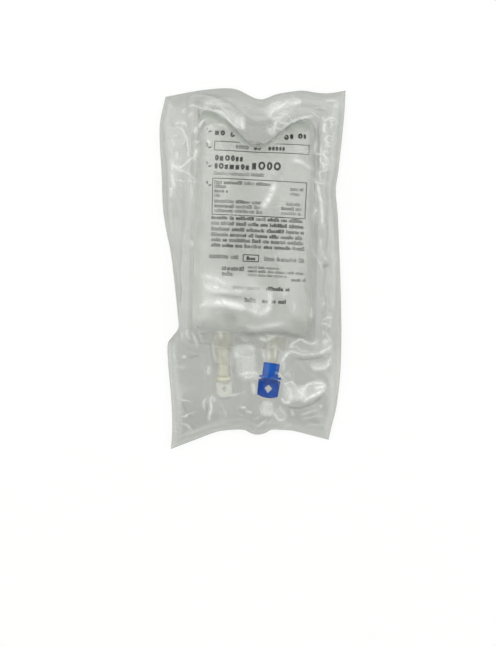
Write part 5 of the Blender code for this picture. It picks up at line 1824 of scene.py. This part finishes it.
@dataclass
class Print:
    """Ink on the bag's front: rules, frames, and rows of plain marks in the places of its type.

    Attributes:
        lift: height of the ink's underside over the film.
        thickness: of the ink.
        seed: picks the rows' rhythm.
        points: places on the chart of the patches' corners.
        faces: four point numbers for each patch.
    """

    lift: float = 0.00011
    thickness: float = 0.00005
    seed: int = 7
    points: list[Array] = field(default_factory=list)
    faces: list[tuple[int, ...]] = field(default_factory=list)

    def __post_init__(self) -> None:
        """Starts the seeded draws."""
        self.rng = np.random.default_rng(self.seed)

    def patch(self, corners: list[Place], steps: int = 1) -> None:
        """Adds a flat patch between four chart places.

        Args:
            corners: the four places, in order round it.
            steps: pieces that it is cut into along its length, to follow the film.
        """
        first, second, third, fourth = (np.array(c, float) for c in corners)
        start = len(self.points)
        for share in np.linspace(0, 1, steps + 1):
            self.points.append(first + (second - first) * share)
            self.points.append(fourth + (third - fourth) * share)
        for k in range(steps):
            low = start + 2 * k
            self.faces.append((low, low + 1, low + 3, low + 2))

    def rule(self, start: Place, end: Place, weight: float) -> None:
        """Adds a straight rule.

        Args:
            start: its first place on the chart.
            end: its last place.
            weight: its width in chart squares.
        """
        start, end = np.array(start, float), np.array(end, float)
        along = end - start
        length = float(np.hypot(*along))
        beside = np.array((-along[1], along[0])) / length * weight / 2
        steps = max(1, int(length / RULE_STEP))
        self.patch([start - beside, end - beside, end + beside, start + beside], steps)

    def box(self, corners: list[Place], weight: float) -> None:
        """Adds a frame of rules of one weight."""
        for start, end in zip(corners, corners[1:] + corners[:1]):
            self.rule(start, end, weight)

    def row(
        self, path: list[Place], height: float, fill: float, group: tuple[int, int], gap: float = 0.7
    ) -> None:
        """Adds a row of marks in groups, along a path on the chart.

        Args:
            path: places that the marks stand on.
            height: of a mark, in chart squares.
            fill: how heavy its strokes are.
            group: least and most marks in a group.
            gap: space between groups, in heights.
        """
        knots = np.array(path, float)
        lengths = np.concatenate(([0.0], np.cumsum(np.hypot(*np.diff(knots, axis=0).T))))
        at, total = 0.0, lengths[-1]
        large = height > LARGE_TYPE
        while at < total:
            inked = fill * self.rng.uniform(*(LARGE_FILL if large else SMALL_FILL))
            for _ in range(int(self.rng.integers(group[0], group[1] + 1))):
                width = height * self.rng.choice(LARGE_WIDTHS if large else SMALL_WIDTHS)
                if at + width > total:
                    return
                self.mark(knots, lengths, at, width, height, inked)
                at += width + LETTER_SPACE * height
            at += gap * height

    def mark(self, knots: Array, lengths: Array, at: float, width: float, height: float, fill: float) -> None:
        """Adds one mark: a bar or thin frame, or in large type a ring or block.

        Args:
            knots: the row's path.
            lengths: how far along the row each knot is.
            at: where the mark starts along it.
            width: of the mark.
            height: of the row.
            fill: how heavy its strokes are.
        """
        large = height > LARGE_TYPE
        rise = height * self.rng.choice(RISES)
        middle = at + width / 2
        index = int(np.clip(np.searchsorted(lengths, middle) - 1, 0, len(knots) - 2))
        step = knots[index + 1] - knots[index]
        step = step / np.hypot(*step)
        foot = knots[index] + step * (at - lengths[index])
        up = np.array((step[1], -step[0]))

        def block(left: float, low: float, right: float, high: float) -> None:
            """Inks a rectangle of the mark."""
            places = ((left, low), (right, low), (right, high), (left, high))
            self.patch([foot + step * u + up * v for u, v in places])

        stroke = fill * height * (STROKE_SHARE if large else SMALL_STROKE_SHARE)
        kind = self.rng.choice(LARGE_MARKS) if large else Mark.FRAME
        if kind is Mark.BLOCK:
            for course in (0, 1):
                low = course * BLOCK_COURSE * height
                block(0, low, BLOCK_WIDTH * width, low + BLOCK_COURSE * height)
        elif kind is Mark.RING:
            turns = np.linspace(0, 2 * math.pi, RING_TURNS + 1)
            for start, end in zip(turns, turns[1:]):
                corners = ((start, 0.0), (end, 0.0), (end, stroke), (start, stroke))
                self.patch([
                    foot + step * (width / 2 + (width / 2 - inset) * math.cos(angle))
                    + up * (height / 2 + (height / 2 - inset) * math.sin(angle))
                    for angle, inset in corners
                ])
        elif width < BAR_BELOW * height:
            block(0, 0, min(width, stroke * BAR_WEIGHT), rise)
        else:
            block(0, 0, width, stroke)
            block(0, rise - stroke, width, rise)
            block(0, stroke, stroke, rise - stroke)
            block(width - stroke, stroke, width, rise - stroke)

    def build(self, material: bpy.types.Material) -> bpy.types.Object:
        """Lays all patches on the film as one thin piece.

        Args:
            material: the ink.

        Returns:
            The piece.
        """
        chart = np.array(self.points)
        x, y = on_chart(chart[:, 0], chart[:, 1])
        z = bag_top(*to_bag(x, y)) + self.lift
        cells = np.array(self.faces)
        cells = cells[np.ptp(z[cells], axis=1) < STEEPEST_PRINT]
        area = np.sum(x[cells] * np.roll(y[cells], -1, 1) - np.roll(x[cells], -1, 1) * y[cells], axis=1)
        cells = np.where(area[:, None] > 0, cells, cells[:, ::-1])
        kept, cells = np.unique(cells, return_inverse=True)
        x, y, z = x[kept], y[kept], z[kept]
        piece = closed_sheet(
            "print", np.column_stack((x, y, z + self.thickness)), np.column_stack((x, y, z)),
            cells.reshape(-1, 4),
        )
        piece.data.shade_flat()
        settle(piece, material, "print_ink")
        return piece


def lay_out_print(ink: bpy.types.Material) -> None:
    """Sets the label's rows of type, frames and rules on the bag's front.

    Each row gives its path on the chart, its height there, its fill and the size of its groups.

    Args:
        ink: the print's material.
    """
    page = Print()
    page.row([(215, 136), (228, 137), (240, 140)], 5.4, 0.72, (6, 8))
    page.row([(243, 141.5), (256, 146), (266, 147.5), (276, 145)], 3.4, 0.3, (3, 5))
    page.row([(279, 142), (290, 140.5), (308, 139.5)], 5.4, 0.72, (3, 5))
    page.box([(215, 142.2), (309, 146.3), (308.6, 155.4), (214.6, 151.1)], FRAME_WEIGHT)
    page.row([(236, 149.7), (251, 150.5)], 3.9, 0.4, (5, 5))
    page.row([(254, 150.9), (290, 152.4)], 4.2, 0.66, (9, 9))
    page.row([(215, 161.6), (247, 163.0)], 5.9, 0.62, (8, 8))
    page.row([(214.6, 169.8), (250, 171.4)], 5.9, 0.62, (8, 9))
    page.row([(252, 170.6), (281, 172.0)], 8.4, 0.52, (4, 5))
    page.row([(214, 175.6), (264, 178.0)], 2.5, 0.32, (7, 10))
    page.box([(213, 179), (306.5, 183.8), (304.5, 219.5), (212.3, 214.9)], FRAME_WEIGHT)
    left = 214.6
    for down, end in (
        (184.6, 272), (188.6, 227), (193.2, 229), (197.4, 221), (203.2, 268), (208.0, 263), (212.6, 263),
    ):
        page.row([(left, down), (end, down + (end - left) * ROW_SLOPE)], 2.7, 0.36, (3, 9))
    right = 303
    for down, start in ((191.6, 290), (196.3, 290), (206.4, 286), (210.8, 281), (215.4, 281)):
        page.row([(start, down), (right, down + (right - start) * ROW_SLOPE)], 2.5, 0.34, (3, 7))
    for down in (219.6, 225.2, 230.9, 236.4, 241.6, 247.0):
        page.row([(211.5, down), (304.0, down + 4.3)], 2.9, 0.46, (2, 9), 0.6)
    page.row([(209.5, 258.4), (239.5, 259.6)], 3.4, 0.34, (3, 7))
    page.box([(243.4, 255.2), (258.6, 255.9), (258.2, 262.4), (243.0, 261.7)], BADGE_WEIGHT)
    page.row([(246.5, 260.6), (256.5, 261.0)], 3.0, 0.6, (4, 4))
    page.row([(264, 261.3), (304, 263.2)], 3.2, 0.34, (3, 9))
    page.row([(222, 270.4), (246, 271.5)], 3.3, 0.5, (9, 10))
    page.row([(222, 275.9), (234, 276.5)], 3.3, 0.5, (4, 5))
    left = 248
    for down, end in ((268.8, 281), (272.6, 303), (276.4, 287)):
        page.row([(left, down), (end, down + (end - left) * NOTE_SLOPE)], 2.0, 0.3, (3, 8))
    page.row([(291, 281.6), (307, 282.3)], 2.2, 0.34, (4, 6))
    page.row([(233, 289.2), (262, 290.6)], 3.0, 0.4, (5, 6))
    page.row([(266, 290.8), (289, 291.9)], 3.2, 0.66, (7, 8))
    page.row([(244.5, 302.2), (258, 302.9)], 3.4, 0.56, (4, 4))
    page.row([(262, 303.1), (286, 304.2)], 3.4, 0.68, (2, 4))
    for down in MARK_DOWNS:
        page.rule((MARK_LEFT, down), (MARK_RIGHT, down - MARK_RISE), MARK_WEIGHT)
    page.build(ink)


def graduation_numbers(ink: bpy.types.Material) -> None:
    """Lays plain numbers on the film beside the filling marks.

    Args:
        ink: the print's material.
    """
    cosine, sine = math.cos(NUMBER_TURN), math.sin(NUMBER_TURN)
    for number, down in enumerate(NUMBER_DOWNS, 1):
        bpy.ops.object.select_all(action="DESELECT")
        bpy.ops.object.text_add()
        made = bpy.context.object
        made.data.body = str(number)
        made.data.size = NUMBER_SIZE
        made.data.extrude = NUMBER_HALF_THICKNESS
        made.data.offset = NUMBER_BOLDNESS
        bpy.ops.object.convert(target="MESH")
        x0, y0 = on_chart(NUMBER_LEFT, down)
        points = np.array([v.co[:] for v in made.data.vertices])
        x = x0 + points[:, 0] * cosine - points[:, 1] * sine
        y = y0 + points[:, 0] * sine + points[:, 1] * cosine
        z = bag_top(*to_bag(x, y)) + NUMBER_LIFT + points[:, 2]
        for vertex, place in zip(made.data.vertices, zip(x, y, z)):
            vertex.co = place
        made.name = f"graduation_{number}"
        made.matrix_world = Matrix.Identity(4)
        settle(made, ink, "print_ink")


# Ports


@dataclass
class Ports:
    """Both ports: the moulded pieces keep their solids and get their plastics.

    Attributes:
        finishes: the material for each plastic.
    """

    finishes: dict[str, bpy.types.Material]

    def build(self) -> None:
        """Gives each moulded node its material."""
        for node, finish in (
            ("injection_port_body", "port_clear"), ("infusion_port_body", "port_clear"),
            ("injection_port_stopper", "stopper_rubber"), ("infusion_port_membrane", "stopper_rubber"),
            ("injection_port_ring", "ivory_plastic"), ("injection_port_tab", "white_plastic"),
            ("infusion_port_collar", "blue_collar"), ("infusion_port_tab", "blue_tab"),
        ):
            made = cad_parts[node]
            made.data.materials.clear()
            made.data.materials.append(self.finishes[finish])
            log.info("%s: dressed in %s", node, self.finishes[finish].name)


# Studio


@dataclass
class Studio:
    """Pale floor, soft lamps and the camera straight above the pack.

    Attributes:
        lens: focal length in mm.
        sensor: sensor width in mm.
        level: height of the plane that the chart is on.
        clip: nearest and furthest distance that the camera sees.
        floor_half: half the table's side, in metres.
        floor_drop: how far the table's top is under the pack.
        floor_whiteness: share of plain white that the camera sees in the table.
        sky_levels: strength of the surroundings for light, and for the camera.
        aim: what the lamps point at.
        light_passes: clear faces that light may pass.
    """

    lens: float = 200.0
    sensor: float = 36.0
    level: float = 0.012
    clip: Place = (0.05, 20.0)
    floor_half: float = 6.0
    floor_drop: float = 0.0002
    floor_whiteness: float = 0.86
    sky_levels: Place = (0.26, 1.0)
    aim: tuple[float, float, float] = (0.0, 0.0, 0.01)
    light_passes: int = 32

    def camera(self) -> None:
        """A long lens that looks straight down on the chart's middle."""
        data = bpy.data.cameras.new("camera")
        data.type = "PERSP"
        data.lens, data.sensor_width, data.sensor_fit = self.lens, self.sensor, "AUTO"
        made = bpy.data.objects.new("camera", data)
        x, y = on_chart(CHART_SIZE[0] / 2, CHART_SIZE[1] / 2)
        height = CHART_SIZE[1] * CHART_SQUARE * self.lens / self.sensor
        made.location = (x, y, height + self.level)
        data.clip_start, data.clip_end = self.clip
        bpy.context.scene.collection.objects.link(made)
        bpy.context.scene.camera = made

    def lamp(self, name: str, place: tuple, size: Place, power: float, tone: str) -> None:
        """Adds a soft rectangular lamp.

        Args:
            name: the lamp's name.
            place: where it hangs.
            size: its width and height, in metres.
            power: in watts.
            tone: hex colour of its light.
        """
        data = bpy.data.lights.new(name, "AREA")
        data.shape = "RECTANGLE"
        data.size, data.size_y = size
        data.energy = power
        data.color = colour(tone)[:3]
        made = bpy.data.objects.new(name, data)
        made.location = place
        made.rotation_euler = (Vector(self.aim) - Vector(place)).to_track_quat("-Z", "Y").to_euler()
        bpy.context.scene.collection.objects.link(made)

    def floor(self) -> None:
        """A white table: white to the camera, and still taking the pack's shadow."""
        maker = bmesh.new()
        bmesh.ops.create_grid(maker, x_segments=1, y_segments=1, size=self.floor_half)
        mesh = bpy.data.meshes.new("floor")
        maker.to_mesh(mesh)
        maker.free()
        made = bpy.data.objects.new("floor", mesh)
        made.location = (0, 0, -self.floor_drop)
        bpy.context.scene.collection.objects.link(made)
        shader = ShaderTree("white laminate table")
        path = shader.add("ShaderNodeLightPath").outputs
        seen = shader.maths("MAXIMUM", path["Is Camera Ray"], path["Is Glossy Ray"])
        seen = shader.maths("MAXIMUM", seen, path["Is Transmission Ray"])
        share = shader.maths("MULTIPLY", seen, self.floor_whiteness)
        lit = shader.add("ShaderNodeBsdfDiffuse", {"Color": colour("f4f4f2")}).outputs[0]
        white = shader.add("ShaderNodeEmission", {"Color": colour("ffffff"), "Strength": 1.0}).outputs[0]
        top = shader.add("ShaderNodeMixShader", {0: share, 1: lit, 2: white}).outputs[0]
        mesh.materials.append(shader.finish(top))

    def world(self) -> None:
        """Even pale surroundings, white where the camera sees them."""
        world = bpy.data.worlds.new("pale studio")
        world.use_nodes = True
        nodes, links = world.node_tree.nodes, world.node_tree.links
        background = nodes["Background"]
        background.inputs["Color"].default_value = colour("fbfcfa")
        path = nodes.new("ShaderNodeLightPath")
        level = nodes.new("ShaderNodeMapRange")
        level.inputs["To Min"].default_value, level.inputs["To Max"].default_value = self.sky_levels
        links.new(path.outputs["Is Camera Ray"], level.inputs["Value"])
        links.new(level.outputs[0], background.inputs["Strength"])
        bpy.context.scene.world = world

    def build(self) -> None:
        """Sets up the whole studio."""
        self.camera()
        self.floor()
        self.world()
        for name, place, size, power, tone in (
            ("left softbox", (-0.80, 0.22, 0.85), (1.35, 1.1), 9.5, "fffefb"),
            ("right softbox", (0.85, 0.12, 0.80), (1.25, 1.1), 7.9, "fbfdff"),
            ("foot fill", (0.05, -0.95, 0.75), (1.6, 0.75), 3.8, "ffffff"),
            ("overhead softbox", (-0.10, 0.50, 1.05), (1.0, 0.62), 2.2, "ffffff"),
        ):
            self.lamp(name, place, size, power, tone)
        scene = bpy.context.scene
        scene.view_settings.view_transform = "Standard"
        scene.cycles.transparent_max_bounces = self.light_passes


def main() -> None:
    """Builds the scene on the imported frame."""
    film, bag_film = clear_material(OVERWRAP), clear_material(BAG_FILM_FINISH)
    web = clear_material(BACK_WEB)
    saline = clear_material(SALINE)
    finishes = {
        "port_clear": clear_material(PORT_CLEAR),
        "stopper_rubber": solid_material(STOPPER),
        "ivory_plastic": solid_material(IVORY),
        "white_plastic": solid_material(WHITE),
        "blue_collar": solid_material(BLUE_COLLAR),
        "blue_tab": solid_material(BLUE_TAB),
    }
    ink = solid_material(INK)
    Overwrap().build(film, web)
    Bag().build(bag_film, saline)
    lay_out_print(ink)
    graduation_numbers(ink)
    Ports(finishes).build()
    Studio().build()


if __name__ == "__main__":
    main()
